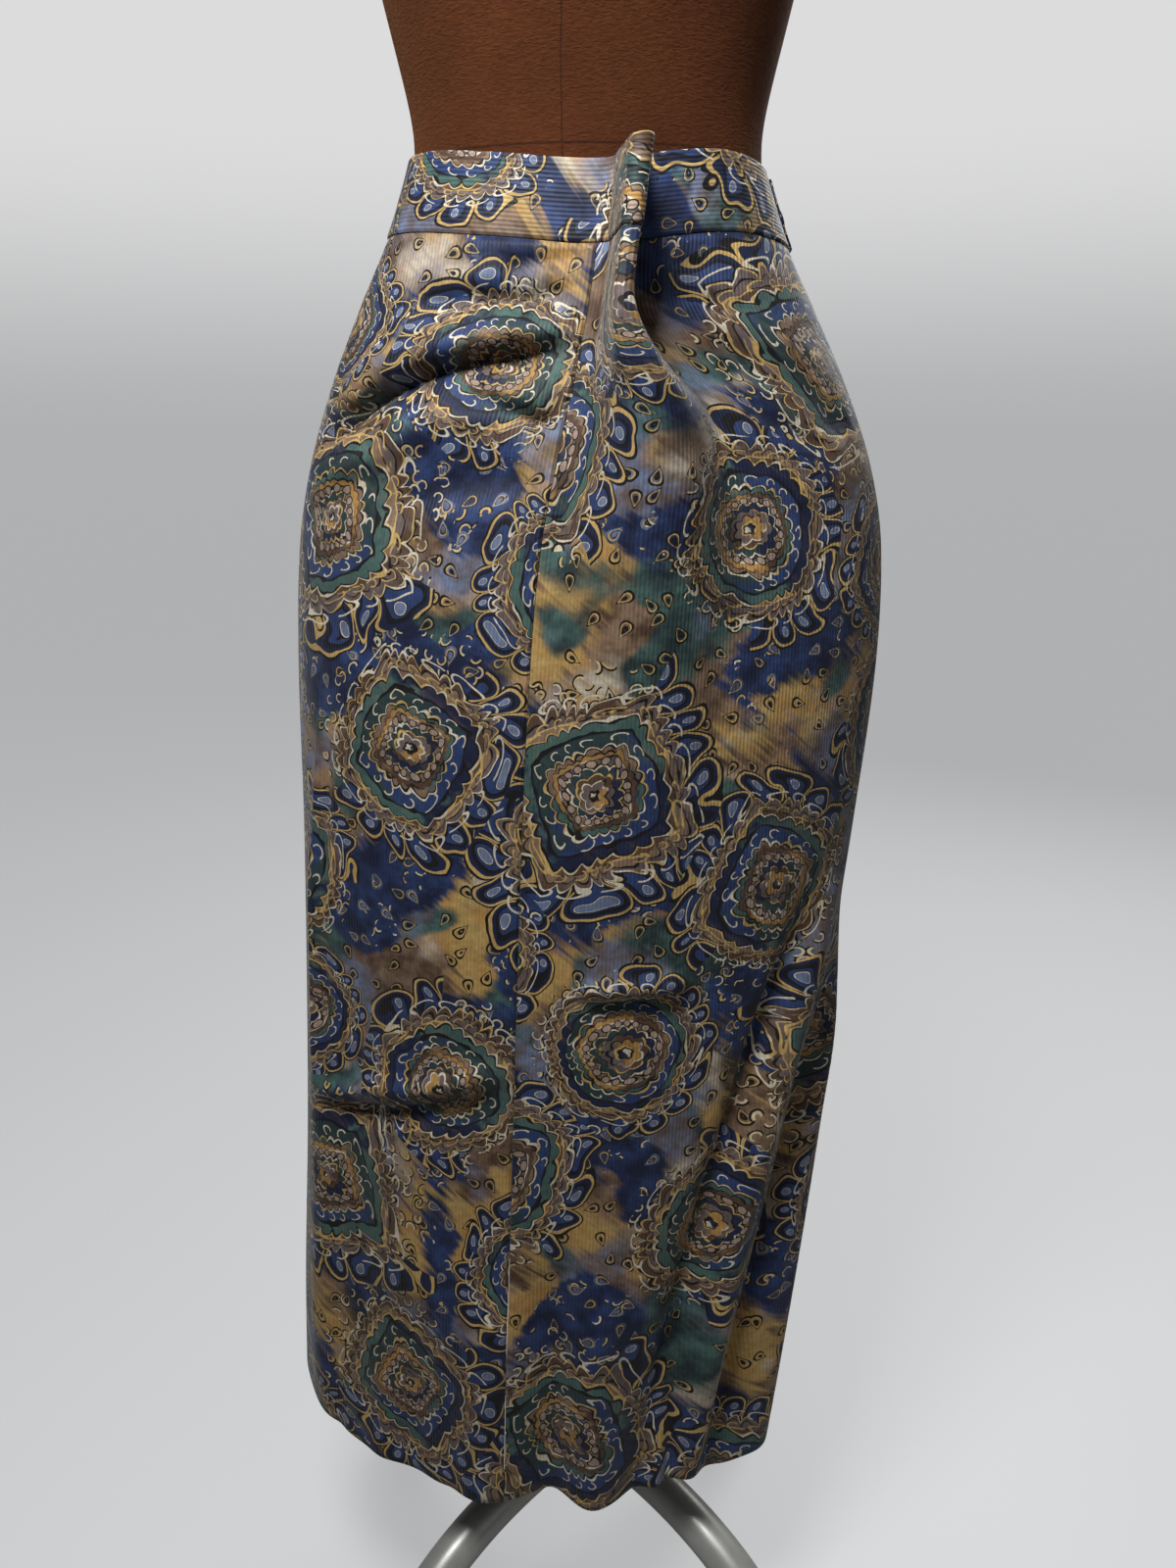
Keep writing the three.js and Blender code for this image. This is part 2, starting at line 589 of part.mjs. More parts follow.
function standParts() {
  const group = new THREE.Group();
  const grey = 0xb4b3ac;
  const boardBottom = form.bottom - stand.gap - form.plateThickness;
  const collarTop = boardBottom - stand.gap;
  const bore = stand.poleRadius + stand.gap;
  const collarBase = collarTop - form.collarHeight;
  group.add(turned('pole_collar', [
    [bore, collarBase], [bore + 5, collarBase], [bore + 5, collarTop - 6],
    [form.collarRadius, collarTop - 5], [form.collarRadius, collarTop], [bore, collarTop],
    [bore, collarBase],
  ], 32, grey, 0.45, 0.3));
  const hubTop = stand.hubBase + stand.hubHeight;
  const socketFloor = stand.hubBase + 12;
  const poleBase = socketFloor + stand.gap;
  const poleTop = collarTop - stand.gap;
  group.add(turned('pole', [
    [0, poleBase], [stand.poleRadius, poleBase], [stand.poleRadius, poleTop], [0, poleTop],
  ], 32, grey, 0.4, 0.3));
  group.add(turned('hub', [
    [0, stand.hubBase], [stand.hubRadius - 3, stand.hubBase], [stand.hubRadius, stand.hubBase + 3],
    [stand.hubRadius, hubTop - 4], [stand.hubRadius - 6, hubTop], [bore, hubTop], [bore, socketFloor],
    [0, socketFloor],
  ], 32, grey, 0.45, 0.3));

  // The legs arch from the hub to the feet, half-way between the axes.
  const section = new THREE.Shape();
  for (let i = 0; i < stand.legSides; i += 1) {
    const turn = (i / stand.legSides) * 2 * Math.PI;
    const place = [stand.legRadius * Math.cos(turn), stand.legRadius * Math.sin(turn)];
    if (i) section.lineTo(...place);
    else section.moveTo(...place);
  }
  const footTop = stand.footHeight + stand.gap;
  const legNames = ['front_left', 'back_left', 'back_right', 'front_right'];
  legNames.forEach((name, i) => {
    const heading = radians(-45 + 90 * i);
    const path = new LegPath(heading, footTop);
    const sweep = { steps: stand.legSteps, extrudePath: path, bevelEnabled: false };
    const geometry = new THREE.ExtrudeGeometry(section, sweep);
    group.add(solidMesh(`leg_${name}`, geometry, grey, 0.45, 0.3));
    const foot = turned(`foot_${name}`, [
      [0, 0], [stand.footRadius, 0], [stand.footRadius, stand.footHeight - 3],
      [stand.footRadius - 3, stand.footHeight], [0, stand.footHeight],
    ], 24, 0x2b2b2b, 0.8);
    foot.position.set(stand.legReach * Math.cos(heading), stand.legReach * Math.sin(heading), 0);
    group.add(foot);
  });
  return group;
}

const part = new THREE.Group();
part.add(skirt(), trunk(), formBoard(), neckCap(), standParts());

// The origin is the middle of the whole part's outline on the floor.
const middle = new THREE.Box3().setFromObject(part, true).getCenter(new THREE.Vector3());
part.position.set(-middle.x, -middle.y, 0);

export default part;
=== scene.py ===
import math
from functools import partial

import bmesh
import bpy
import numpy as np
from mathutils import Matrix, Vector


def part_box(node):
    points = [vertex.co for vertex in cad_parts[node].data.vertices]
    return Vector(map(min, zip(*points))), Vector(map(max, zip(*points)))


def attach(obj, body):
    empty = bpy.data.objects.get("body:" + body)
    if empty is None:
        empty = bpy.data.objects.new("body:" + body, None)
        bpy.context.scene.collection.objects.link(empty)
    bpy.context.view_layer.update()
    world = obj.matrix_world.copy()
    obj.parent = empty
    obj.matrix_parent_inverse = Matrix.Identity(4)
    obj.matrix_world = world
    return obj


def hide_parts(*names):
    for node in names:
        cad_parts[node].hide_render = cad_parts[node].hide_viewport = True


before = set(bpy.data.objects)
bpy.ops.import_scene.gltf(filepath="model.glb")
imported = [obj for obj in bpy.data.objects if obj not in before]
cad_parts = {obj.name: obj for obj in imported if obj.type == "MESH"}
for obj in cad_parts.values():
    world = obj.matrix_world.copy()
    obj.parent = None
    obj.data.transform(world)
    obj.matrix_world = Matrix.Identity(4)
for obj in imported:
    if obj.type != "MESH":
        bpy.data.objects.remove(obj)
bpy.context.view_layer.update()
mm = 0.001

low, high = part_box("pole")
poleAxis = Vector(((low[0] + high[0]) / 2, (low[1] + high[1]) / 2, 0))


# sRGB hex to Blender's linear colour
def toLinear(text):
    parts = [int(text[i : i + 2], 16) / 255 for i in (0, 2, 4)]
    return [p / 12.92 if p <= 0.04045 else ((p + 0.055) / 1.055) ** 2.4 for p in parts] + [1.0]


# values, hex colours, nodes and sockets into a node's inputs, in order or by name
def fillInputs(node, inputs):
    for place, value in inputs.items() if isinstance(inputs, dict) else enumerate(inputs):
        if isinstance(value, bpy.types.Node):
            value = value.outputs[0]
        if isinstance(value, bpy.types.NodeSocket):
            node.id_data.links.new(value, node.inputs[place])
        else:
            node.inputs[place].default_value = toLinear(value) if isinstance(value, str) else value


# kind is a node's type, and for a maths node its operation after it
def addNode(tree, kind, inputs=(), **settings):
    kind, *operation = kind.split()
    node = tree.nodes.new(kind if kind.startswith("Node") else "ShaderNode" + kind)
    if operation:
        node.operation = operation[0]
    for name, setting in settings.items():
        setattr(node, name, setting)
    fillInputs(node, inputs)
    return node


# a new material, what adds a node to it, and its shader
def newMaterial(name):
    material = bpy.data.materials.new(name)
    material.use_nodes = True
    tree = material.node_tree
    return material, partial(addNode, tree), tree.nodes["Principled BSDF"]


def smoothStep(x):
    share = np.clip(x, 0, 1)
    return share * share * (3 - 2 * share)


# a table's row at a place in its first column: a cubic through the rows, column by column
def rowAt(table, place):
    rows = np.array(sorted(table), float)
    key = rows[:, 0]
    x = np.clip(np.atleast_1d(np.asarray(place, float)), key[0], key[-1])
    slot = np.clip(np.searchsorted(key, x, side="right") - 1, 0, len(key) - 2)
    index = np.arange(len(key))
    before, after = np.maximum(index - 1, 0), np.minimum(index + 1, len(key) - 1)
    slopes = (rows[after] - rows[before]) / (key[after] - key[before])[:, None]
    span = (key[slot + 1] - key[slot])[:, None]
    t = ((x - key[slot]) / span[:, 0])[:, None]
    return (
        rows[slot] * (2 * t**3 - 3 * t**2 + 1)
        + slopes[slot] * span * (t**3 - 2 * t**2 + t)
        + rows[slot + 1] * (3 * t**2 - 2 * t**3)
        + slopes[slot + 1] * span * (t**3 - t**2)
    )


def finishPiece(piece, material, slotName, *nodes):
    piece.data.materials.clear()
    piece.data.materials.append(material)
    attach(piece, "root")
    if nodes:
        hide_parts(*nodes)


def selectOnly(*pieces):
    bpy.ops.object.select_all(action="DESELECT")
    for piece in pieces:
        piece.select_set(True)
    bpy.context.view_layer.objects.active = pieces[0]


def applyModifier(piece, kind, **settings):
    selectOnly(piece)
    modifier = piece.modifiers.new(kind.title(), kind)
    for name, value in settings.items():
        setattr(modifier, name, value)
    bpy.ops.object.modifier_apply(modifier=modifier.name)


# metres, degrees and millimetres
view = {"distance": 0.85, "height": 0.875, "pitch": 15.0, "lens": 29.1, "sensor": 36, "clipStart": 0.02}

bpy.ops.object.camera_add(
    location=poleAxis + Vector((0, -view["distance"], view["height"])),
    rotation=(math.radians(90 - view["pitch"]), 0, 0),
)
camera = bpy.context.object
camera.name = "camera"
camera.data.lens = view["lens"]
camera.data.sensor_width = view["sensor"]
camera.data.clip_start = view["clipStart"]
bpy.context.scene.camera = camera
bpy.context.scene.view_settings.view_transform = "Standard"
print("camera placed")

# the cloth's shape, in millimetres about the pole's axis
cloth = {
    "thickness": 0.9, "bandThickness": 2.0, "seamGap": 0.3,
    "bandTop": 1036, "bandBottom": 992, "hem": 172,
    "foldCloth": 132,  # cloth that the pinched fold takes up
    "squareness": 2.2,
    "sideTurn": 0.257,  # side seams, in whole turns from the middle of the front
    "waistFade": 160,  # how far down the waistline's lift reaches
    "foldFade": 0.22,  # share of a soft fold's length that fades at either end
    "rowStep": 4.0,
}

# height, then how far the cloth's inner face reaches to the wearer's right, left, front and back
skirtSections = [
    (1060, 106.6, 106.8, 84.6, 84.9),
    (1038, 107.0, 107.2, 85.2, 85.2),
    (1016, 113.4, 114.0, 87.2, 88.4),
    (992, 122.4, 123.4, 90.6, 93.6),
    (953, 141.2, 142.8, 97.5, 104.5),
    (907, 161.5, 164.0, 106.0, 117.5),
    (859, 177.5, 181.0, 113.0, 127.0),
    (810, 186.8, 190.0, 118.0, 130.5),
    (733, 192.0, 191.0, 121.0, 131.0),
    (625, 194.5, 182.0, 123.0, 129.0),
    (510, 199.0, 170.5, 125.0, 126.0),
    (386, 205.0, 161.5, 127.5, 123.0),
    (253, 213.5, 152.5, 130.5, 120.0),
    (160, 217.5, 146.5, 132.0, 118.5),
]

# height, and where the centre-front seam runs along the outline
frontSeam = [
    (1060, 9), (992, 5), (929, -5), (870, -17), (810, -28), (700, -37), (550, -44), (320, -53), (160, -58),
]

# height, steepness of the pinched fold's flanks, and the cloth in the bends at its foot and its crest
pinchedFold = [
    (1060, 87, 13, 5), (960, 86, 13, 6), (925, 77, 15, 13), (895, 62, 18, 22), (855, 47, 22, 28),
    (800, 33, 28, 33), (720, 20, 33, 33), (620, 11, 33, 33), (480, 5, 33, 33), (300, 4, 33, 33),
    (160, 7, 33, 33),
]

# soft folds: from across, from height, to across, to height, sag, half-width, rise
folds = [
    # drag lines pulled to the pinch, wearer's right
    (-8, 962, -118, 958, 6, 11, -6),
    (0, 948, -165, 893, -12, 11, 6),
    (0, 930, -176, 865, -14, 10, -9),
    (-4, 902, -190, 838, -12, 13, 7),
    (0, 885, -76, 906, 0, 10, -5),
    (-4, 858, -110, 834, -6, 13, -5),
    # drag lines on the wearer's left
    (140, 925, 232, 880, -5, 14, -4),
    (138, 885, 205, 790, 0, 17, -5),
    (74, 872, 124, 776, 0, 11, 3),
    # tucks across the wearer's right and the middle of the front
    (-160, 438, 4, 496, 0, 9, 5),
    (-156, 419, 0, 470, 0, 9, -5),
    (34, 546, 116, 553, 0, 9, 4),
    (38, 531, 112, 537, 0, 8, -4),
    # pressed corner down the wearer's right
    (-152, 700, -150, 120, 0, 18, 6),
    (-116, 600, -106, 120, 0, 26, -5),
    # long folds down the wearer's left
    (205, 620, 76, 60, -74, 14, -11),
    (232, 620, 128, 220, -50, 14, 9),
    (244, 540, 112, 60, 0, 14, -11),
    (274, 580, 166, 60, 0, 16, 9),
    # flutes at the front hem
    (-66, 330, -70, 60, 0, 18, -5),
    (-18, 350, -10, 60, 0, 22, 8),
    (28, 380, 34, 60, 0, 14, -9),
    (60, 360, 59, 60, 0, 14, 8),
    (126, 340, 114, 60, 0, 10, -8),
    (142, 330, 134, 60, 0, 11, 6),
    # long folds down the back
    (420, 760, 415, 70, 0, 26, 8),
    (478, 700, 484, 70, 0, 24, -9),
    (545, 740, 540, 70, 0, 28, 9),
    (612, 690, 606, 70, 0, 24, -9),
    (676, 720, 680, 70, 0, 26, 8),
    (740, 660, 742, 70, 0, 22, -7),
]

# fine creases that the solids leave out, in the same columns
creases = [
    (-2, 985, -56, 971, -3, 4.5, -3.4),
    (-14, 990, -96, 980, -2, 4, 2.2),
    (-2, 968, -76, 959, 4, 4.5, -3.4),
    (-40, 974, -130, 950, -3, 5, 2.4),
    (6, 935, -168, 868, -15, 4, -5.6),
    (6, 945, -160, 884, -13, 5.5, 3.4),
    (-18, 920, -150, 872, -12, 6, 2.8),
    (0, 886, -66, 906, 0, 4.5, -3.6),
    (-6, 893, -60, 915, 0, 5, 2.2),
    (-96, 884, -178, 836, -4, 5, -3.0),
    (-110, 872, -184, 826, -3, 5, 2.4),
    (-30, 828, -90, 806, -2, 8, -2.0),
    (132, 984, 178, 972, 2, 4.5, -2.6),
    (140, 962, 205, 950, 3, 5, -2.6),
    (150, 944, 240, 925, 2, 6, 2.0),
    (138, 906, 200, 866, 2, 6, -3.0),
    (140, 884, 178, 836, 0, 7, 2.4),
    (186, 884, 232, 887, 0, 4, -2.4),
    (112, 880, 134, 800, 0, 6, -3.0),
    (20, 880, 4, 790, 0, 7, -2.4),
    (44, 860, 40, 780, 0, 8, 1.8),
    (-147, 720, -153, 425, 0, 4.5, 3.0),
    (-139, 700, -144, 440, 0, 4.5, -2.0),
    (-158, 441, 0, 497, 0, 3.6, 3.8),
    (-156, 427, 0, 478, 0, 3.8, -6.0),
    (-120, 424, -46, 446, 0, 4, 3.0),
    (36, 549, 114, 555, 0, 3.4, 4.0),
    (40, 538, 110, 544, 0, 3.6, -5.6),
    (30, 660, 75, 600, 0, 9, 1.8),
    (206, 620, 92, 190, -62, 5, -3.6),
    (218, 600, 116, 240, -50, 5, 3.0),
    (242, 520, 150, 200, 0, 5, -3.4),
    (256, 500, 176, 230, 0, 6, 3.0),
    (228, 560, 214, 440, 0, 5, 2.2),
    (280, 470, 262, 280, 0, 6, -2.6),
    (120, 330, 112, 90, 0, 4.5, -3.0),
    (-100, 300, -92, 90, 0, 10, 1.8),
    (-40, 280, -36, 90, 0, 8, -1.8),
    (-132, 330, -136, 100, 0, 7, -2.0),
]

# turn round the skirt in degrees, waistline lift and hem lift
edgeHeights = [
    (-180, 0, 12), (-130, 2, 20), (-92, 4, 28), (-60, 2, 9), (-30, -4, -1), (-8, -8, 3),
    (8, -8, 0), (45, 0, 6), (70, -2, 30), (95, -5, 46), (135, -2, 28), (180, 0, 12),
]


# rounded outline seen from above; turn 0 is the front and a quarter turn the wearer's left
def outlinePoints(reach, turn):
    right, left, front, back = reach
    sine, cosine = np.sin(turn), np.cos(turn)
    power = 2 / cloth["squareness"]
    x = np.where(sine > 0, left, right) * np.sign(sine) * np.abs(sine) ** power
    y = -np.where(cosine > 0, front, back) * np.sign(cosine) * np.abs(cosine) ** power
    return x, y


# cross-profile of the pinched fold: distance along the outline and height off it, by cloth spent
def foldProfile(height):
    _, steepness, footBend, crestBend = rowAt(pinchedFold, height)[0]
    length = cloth["foldCloth"]
    s = np.arange(0.5, length, 1.0)
    fromFoot = np.minimum(s, length - s)
    share = np.minimum(smoothStep(fromFoot / footBend), smoothStep((length / 2 - fromFoot) / crestBend))
    lean = np.radians(steepness) * share * np.where(s < length / 2, 1, -1)
    return np.concatenate([[0], np.cumsum(np.cos(lean))]), np.concatenate([[0], np.cumsum(np.sin(lean))])


rings = {}


# the skirt's outline at a height, measured along its length
def ringAt(height):
    key = round(float(height), 3)
    if key not in rings:
        samples = 720
        turns = (np.arange(2 * samples + 1) / samples - 1) * 2 * math.pi
        x, y = outlinePoints(rowAt(skirtSections, height)[0][1:], turns)
        lengths = np.concatenate([[0], np.cumsum(np.hypot(np.diff(x), np.diff(y)))])
        girth = lengths[samples]
        along, off = foldProfile(height)
        seam = rowAt(frontSeam, height)[0][1]
        leftSide = lengths[round(samples * (1 + cloth["sideTurn"]))] - girth
        rightSide = lengths[round(samples * (1 - cloth["sideTurn"]))] - girth
        rings[key] = {
            "x": x, "y": y, "lengths": lengths - girth, "girth": girth,
            "along": along, "off": off, "seam": seam,
            "leftFront": cloth["foldCloth"] + leftSide - seam - along[-1],
            "rightFront": seam - rightSide,
            "flat": girth - along[-1] + cloth["foldCloth"],
        }
    return rings[key]


# how far a table's folds lift the cloth off its outline at one height; flat is the length once round
def foldRise(across, height, flat, table):
    rise = np.zeros_like(across)
    for fromAcross, fromHeight, toAcross, toHeight, sag, halfWidth, top in table:
        runAcross, runDown = toAcross - fromAcross, toHeight - fromHeight
        length = math.hypot(runAcross, runDown)
        for place in (across - flat, across, across + flat):
            share = ((place - fromAcross) * runAcross + (height - fromHeight) * runDown) / length**2
            bow = -sag * np.sin(math.pi * np.clip(share, 0, 1))
            off = (place - fromAcross) * runDown - (height - bow - fromHeight) * runAcross
            fade = smoothStep(share / cloth["foldFade"]) * smoothStep((1 - share) / cloth["foldFade"])
            rise += top * fade * np.exp(-((off / length / halfWidth) ** 2))
    return rise


# points of the cloth's inner face: across from the centre-front seam, at one nominal height
def clothPoints(across, height, fine=True):
    ring = ringAt(height)
    across = np.asarray(across, float)
    length = cloth["foldCloth"]
    off = foldRise(across, height, ring["flat"], folds + (creases if fine else []))
    inFold = np.clip(across, 0, length)
    steps = np.arange(len(ring["along"]))
    beside = np.minimum(across, 0) + np.maximum(across - length, 0)
    along = ring["seam"] + beside + np.interp(inFold, steps, ring["along"])
    off += np.interp(inFold, steps, ring["off"])
    girth = ring["girth"]

    def at(place):
        wrapped = (place + girth / 2) % girth - girth / 2
        return np.interp(wrapped, ring["lengths"], ring["x"]), np.interp(wrapped, ring["lengths"], ring["y"])

    aside = 2  # millimetres to either side, for the outline's direction
    x, y = at(along)
    backX, backY = at(along - aside)
    aheadX, aheadY = at(along + aside)
    run = np.hypot(aheadX - backX, aheadY - backY)
    turn = (along / girth * 360 + 540) % 360 - 180
    edge = rowAt(edgeHeights, turn)
    belowBand = cloth["bandBottom"] - height
    nearWaist = smoothStep(1 - belowBand / cloth["waistFade"])
    nearHem = np.clip(belowBand / (cloth["bandBottom"] - cloth["hem"]), 0, 1) ** 2
    z = height + edge[:, 1] * nearWaist + edge[:, 2] * nearHem
    return np.stack([x + off * (aheadY - backY) / run, y - off * (aheadX - backX) / run, z], axis=1)


# the numbers of a grid's points, row by row
def gridCorners(points):
    return np.arange(points.shape[0] * points.shape[1]).reshape(points.shape[:2])


# a smooth mesh through rows of points, with their flat places as UVs in metres
def clothMesh(name, points, faces, flatPlaces):
    vertices = points.reshape(-1, 3) * mm + np.array(poleAxis)
    mesh = bpy.data.meshes.new(name)
    mesh.from_pydata(vertices.tolist(), [], faces)
    layer = mesh.uv_layers.new(name="flat")
    order = [corner for face in faces for corner in face]
    layer.data.foreach_set("uv", (flatPlaces.reshape(-1, 2)[order] * mm).ravel())
    mesh.shade_smooth()
    piece = bpy.data.objects.new(name, mesh)
    bpy.context.collection.objects.link(piece)
    return piece


# flat places for the grid: across as given, and down by the cloth's own length down its columns
def flatRows(points, across):
    steps = np.linalg.norm(np.diff(points, axis=0), axis=2)
    down = np.concatenate([np.zeros((1, points.shape[1])), np.cumsum(steps, axis=0)])
    down = down.mean(axis=1, keepdims=True) * np.ones((1, points.shape[1]))
    return np.stack([across, -down], axis=-1)


# the cloth's outward direction at flat places of one nominal height
def clothOutward(across, height):
    aside, aboveBelow = 0.6, 1.5
    around = clothPoints(across + aside, height) - clothPoints(across - aside, height)
    down = clothPoints(across, height - aboveBelow) - clothPoints(across, height + aboveBelow)
    outward = np.cross(down, around)
    return outward / np.linalg.norm(outward, axis=1, keepdims=True)


# one cut panel as a fine sheet with its wall; edges gives its two side edges for a height
def panelPiece(name, edges, material, node, columns):
    top, bottom = cloth["bandBottom"] - cloth["seamGap"], cloth["hem"]
    heights = np.linspace(top, bottom, int((top - bottom) / cloth["rowStep"]))
    places = np.array([np.linspace(*edges(height), columns) for height in heights])
    points = np.array([clothPoints(across, height) for across, height in zip(places, heights)])
    flat = flatRows(points, places)
    corner = gridCorners(points)
    faces = np.stack([corner[:-1, :-1], corner[1:, :-1], corner[1:, 1:], corner[:-1, 1:]], axis=-1)
    piece = clothMesh(name, points, faces.reshape(-1, 4).tolist(), flat)
    applyModifier(piece, "SOLIDIFY", thickness=cloth["thickness"] * mm, offset=1.0)
    finishPiece(piece, material, "printed_cloth", node)


# a folded strip such as the waistband; profile is its rounded section: heights, and lifts off the inner face
def stripPiece(name, places, profile, material, node):
    spread = np.array([places(height) for height, _ in profile])
    points = []
    for across, (height, lift) in zip(spread, profile):
        points.append(clothPoints(across, height, fine=False) + clothOutward(across, height) * lift)
    points = np.array(points)
    corner = gridCorners(points)
    below = np.roll(corner, -1, axis=0)
    faces = np.stack([corner[:, :-1], below[:, :-1], below[:, 1:], corner[:, 1:]], axis=-1)
    faces = faces.reshape(-1, 4).tolist() + [corner[::-1, 0].tolist(), corner[:, -1].tolist()]
    down = np.concatenate([[0], np.cumsum(np.hypot(*np.diff(np.array(profile), axis=0).T))])
    flat = np.stack([spread, -down[:, None] * np.ones_like(spread)], axis=-1)
    piece = clothMesh(name, points, faces, flat)
    finishPiece(piece, material, "printed_cloth", node)
    return piece


# the print's dyes
dye = {
    "navy": "1a213e", "blue": "2b3c66", "sky": "6c7792", "teal": "46605a", "deepTeal": "29393a",
    "tan": "836a54", "brown": "573f2f", "ochre": "ab8147", "gold": "c2a061", "cream": "d2c6b0",
    "mauve": "695a57", "rose": "a28b7b", "ink": "161210",
}

# millimetres, and the slant in degrees: the repeat, a drawn line's straying, and what is scattered
drawing = {
    "repeatWidth": 372.0, "repeatLength": 452.0,
    "stray": 15.0, "strayLength": 44.0, "tremor": 15.0, "pressure": 11.0,
    "cloud": 21.0, "grain": 4.0, "strokeLength": 60.0, "strokeGap": 5.0, "strokeSlant": 38,
    "seed": 18.0, "curl": 11.0,
}

# washes of dye, one over another: patch size, seed, threshold, softness, brushed share, colour, second colour
washes = [
    (64, 29.8, 0.575, 0.070, 0.10, "rose", "cream"),
    (78, 3.1, 0.515, 0.050, 0.34, "ochre", "gold"),
    (74, 17.4, 0.548, 0.026, 0.06, "teal", "deepTeal"),
    (66, 63.5, 0.570, 0.070, 0.18, "sky", "mauve"),
    (76, 44.2, 0.534, 0.030, 0.16, "blue", "navy"),
]
# medallions in one repeat: x, y, radius, turn in degrees, character 0-1, diamond share
medallions = [
    (67, 69, 66, 25, 0.10, 1.0),
    (215, 47, 50, 0, 0.55, 0.0),
    (320, 137, 58, -18, 0.35, 0.8),
    (158, 170, 54, 60, 0.85, 0.0),
    (43, 237, 48, 130, 0.70, 0.2),
    (253, 271, 68, 32, 0.00, 1.0),
    (123, 325, 58, -30, 0.45, 0.7),
    (346, 372, 50, 200, 0.25, 0.0),
    (228, 399, 45, 80, 0.95, 0.4),
]
# bands from the rim inwards: edge, lobes, lobe depth, two fills, two line colours, line width, tremble
bands = [
    (1.00, 31, 0.090, "mauve", "brown", "gold", "cream", 0.015, 0.08),
    (0.93, 31, 0.070, "tan", "mauve", "ink", "ink", 0.010, 0.10),
    (0.88, 0, 0.000, "brown", "tan", "ink", "gold", 0.010, 0.10),
    (0.83, 23, 0.055, "navy", "teal", "cream", "gold", 0.014, 0.09),
    (0.70, 0, 0.000, "blue", "deepTeal", "navy", "ink", 0.010, 0.12),
    (0.55, 21, 0.050, "teal", "tan", "gold", "cream", 0.015, 0.08),
    (0.48, 25, 0.030, "brown", "ochre", "ink", "brown", 0.011, 0.09),
    (0.42, 0, 0.000, "tan", "mauve", "ink", "cream", 0.010, 0.08),
    (0.33, 13, 0.050, "navy", "deepTeal", "gold", "cream", 0.015, 0.07),
    (0.24, 9, 0.040, "mauve", "brown", "ink", "gold", 0.012, 0.08),
    (0.17, 7, 0.050, "ochre", "mauve", "ink", "cream", 0.013, 0.06),
    (0.08, 5, 0.020, "navy", "cream", "gold", "ink", 0.013, 0.04),
]
# petals round a rim: middle, count, half-length, half-width of a cell, fill, line, kind
petalRows = [
    (1.130, 17, 0.250, 0.49, "navy", "gold", "fan"),
    (1.130, 17, 0.170, 0.30, "blue", "ink", "fan"),
    (1.200, 17, 0.060, 0.13, "sky", "cream", "fan"),
]
# curls and beads along the bands, in the same columns
curlRows = [
    (1.060, 19, 0.055, 0.40, None, "cream", "curl"),
    (0.900, 25, 0.040, 0.34, None, "gold", "curl"),
    (0.640, 15, 0.045, 0.26, None, "cream", "curl"),
    (0.385, 17, 0.045, 0.38, "rose", "ink", "bead"),
]
# in radii of a medallion, but for the ink lines' places, which are in line widths
bandShape = {"soft": 0.012, "inkLine": 0.013, "inkInside": 1.7, "inkOutside": -1.6}
# in half-widths of a petal
petalShape = {
    "rim": 0.95, "fanLine": 0.06, "curlLine": 0.14, "inkRim": 1.07, "inkLine": 0.05, "tremble": 0.35,
}
# in spacings of the cells that they lie in
seedShape = {"taper": -2.6, "narrowest": 0.25, "stretch": 0.55, "tremble": 0.12, "missing": 0.22}
curlShape = {"openFrom": -0.12, "radius": 0.30, "shadow": 0.385, "line": 0.045}
# how square a diamond is, how its bands are spaced, and where fans and curls grow
medallionShape = {
    "square": 0.62, "leastPower": 0.8, "morePower": 0.5, "unevenLobes": 0.07,
    "fanBelow": 0.12, "curlsWithin": 1.2, "curlsAbove": 0.56,
}


def paintBands(add, colour, angle, radius, feel):
    for index, (edge, lobes, depth, fill, secondFill, line, secondLine, width, tremble) in enumerate(bands):
        reach = edge
        if lobes:
            wave = add("Math MULTIPLY", [angle, lobes / 2])
            wave = add("Math SINE", [wave])
            wave = add("Math ABSOLUTE", [wave])
            reach = add("Math MULTIPLY_ADD", [wave, depth, edge - depth / 2])
        gap = add("Math SUBTRACT", [reach, radius])
        gap = add("Math MULTIPLY_ADD", [feel["tremor"][index % 3], tremble, gap])
        inside = add("MapRange", [gap, 0.0, bandShape["soft"], 0.0, feel["strength"]])
        filling = add("MixRGB", [feel["sweep"][index % 2], dye[fill], dye[secondFill]])
        colour = add("MixRGB", [inside, colour, filling])
        gap = add("Math MULTIPLY", [gap, feel["lightness"]])
        lineDye = dye[line]
        if line != secondLine:
            lineDye = add("MixRGB", [feel["tint"], dye[line], dye[secondLine]])
        drawn = add("Math COMPARE", [gap, 0.0, width])
        colour = add("MixRGB", [drawn, colour, lineDye])
        if line != "ink":
            beside = width * bandShape["inkInside" if index % 4 else "inkOutside"]
            inked = add("Math COMPARE", [gap, beside, bandShape["inkLine"]])
            colour = add("MixRGB", [inked, colour, dye["ink"]])
    return colour


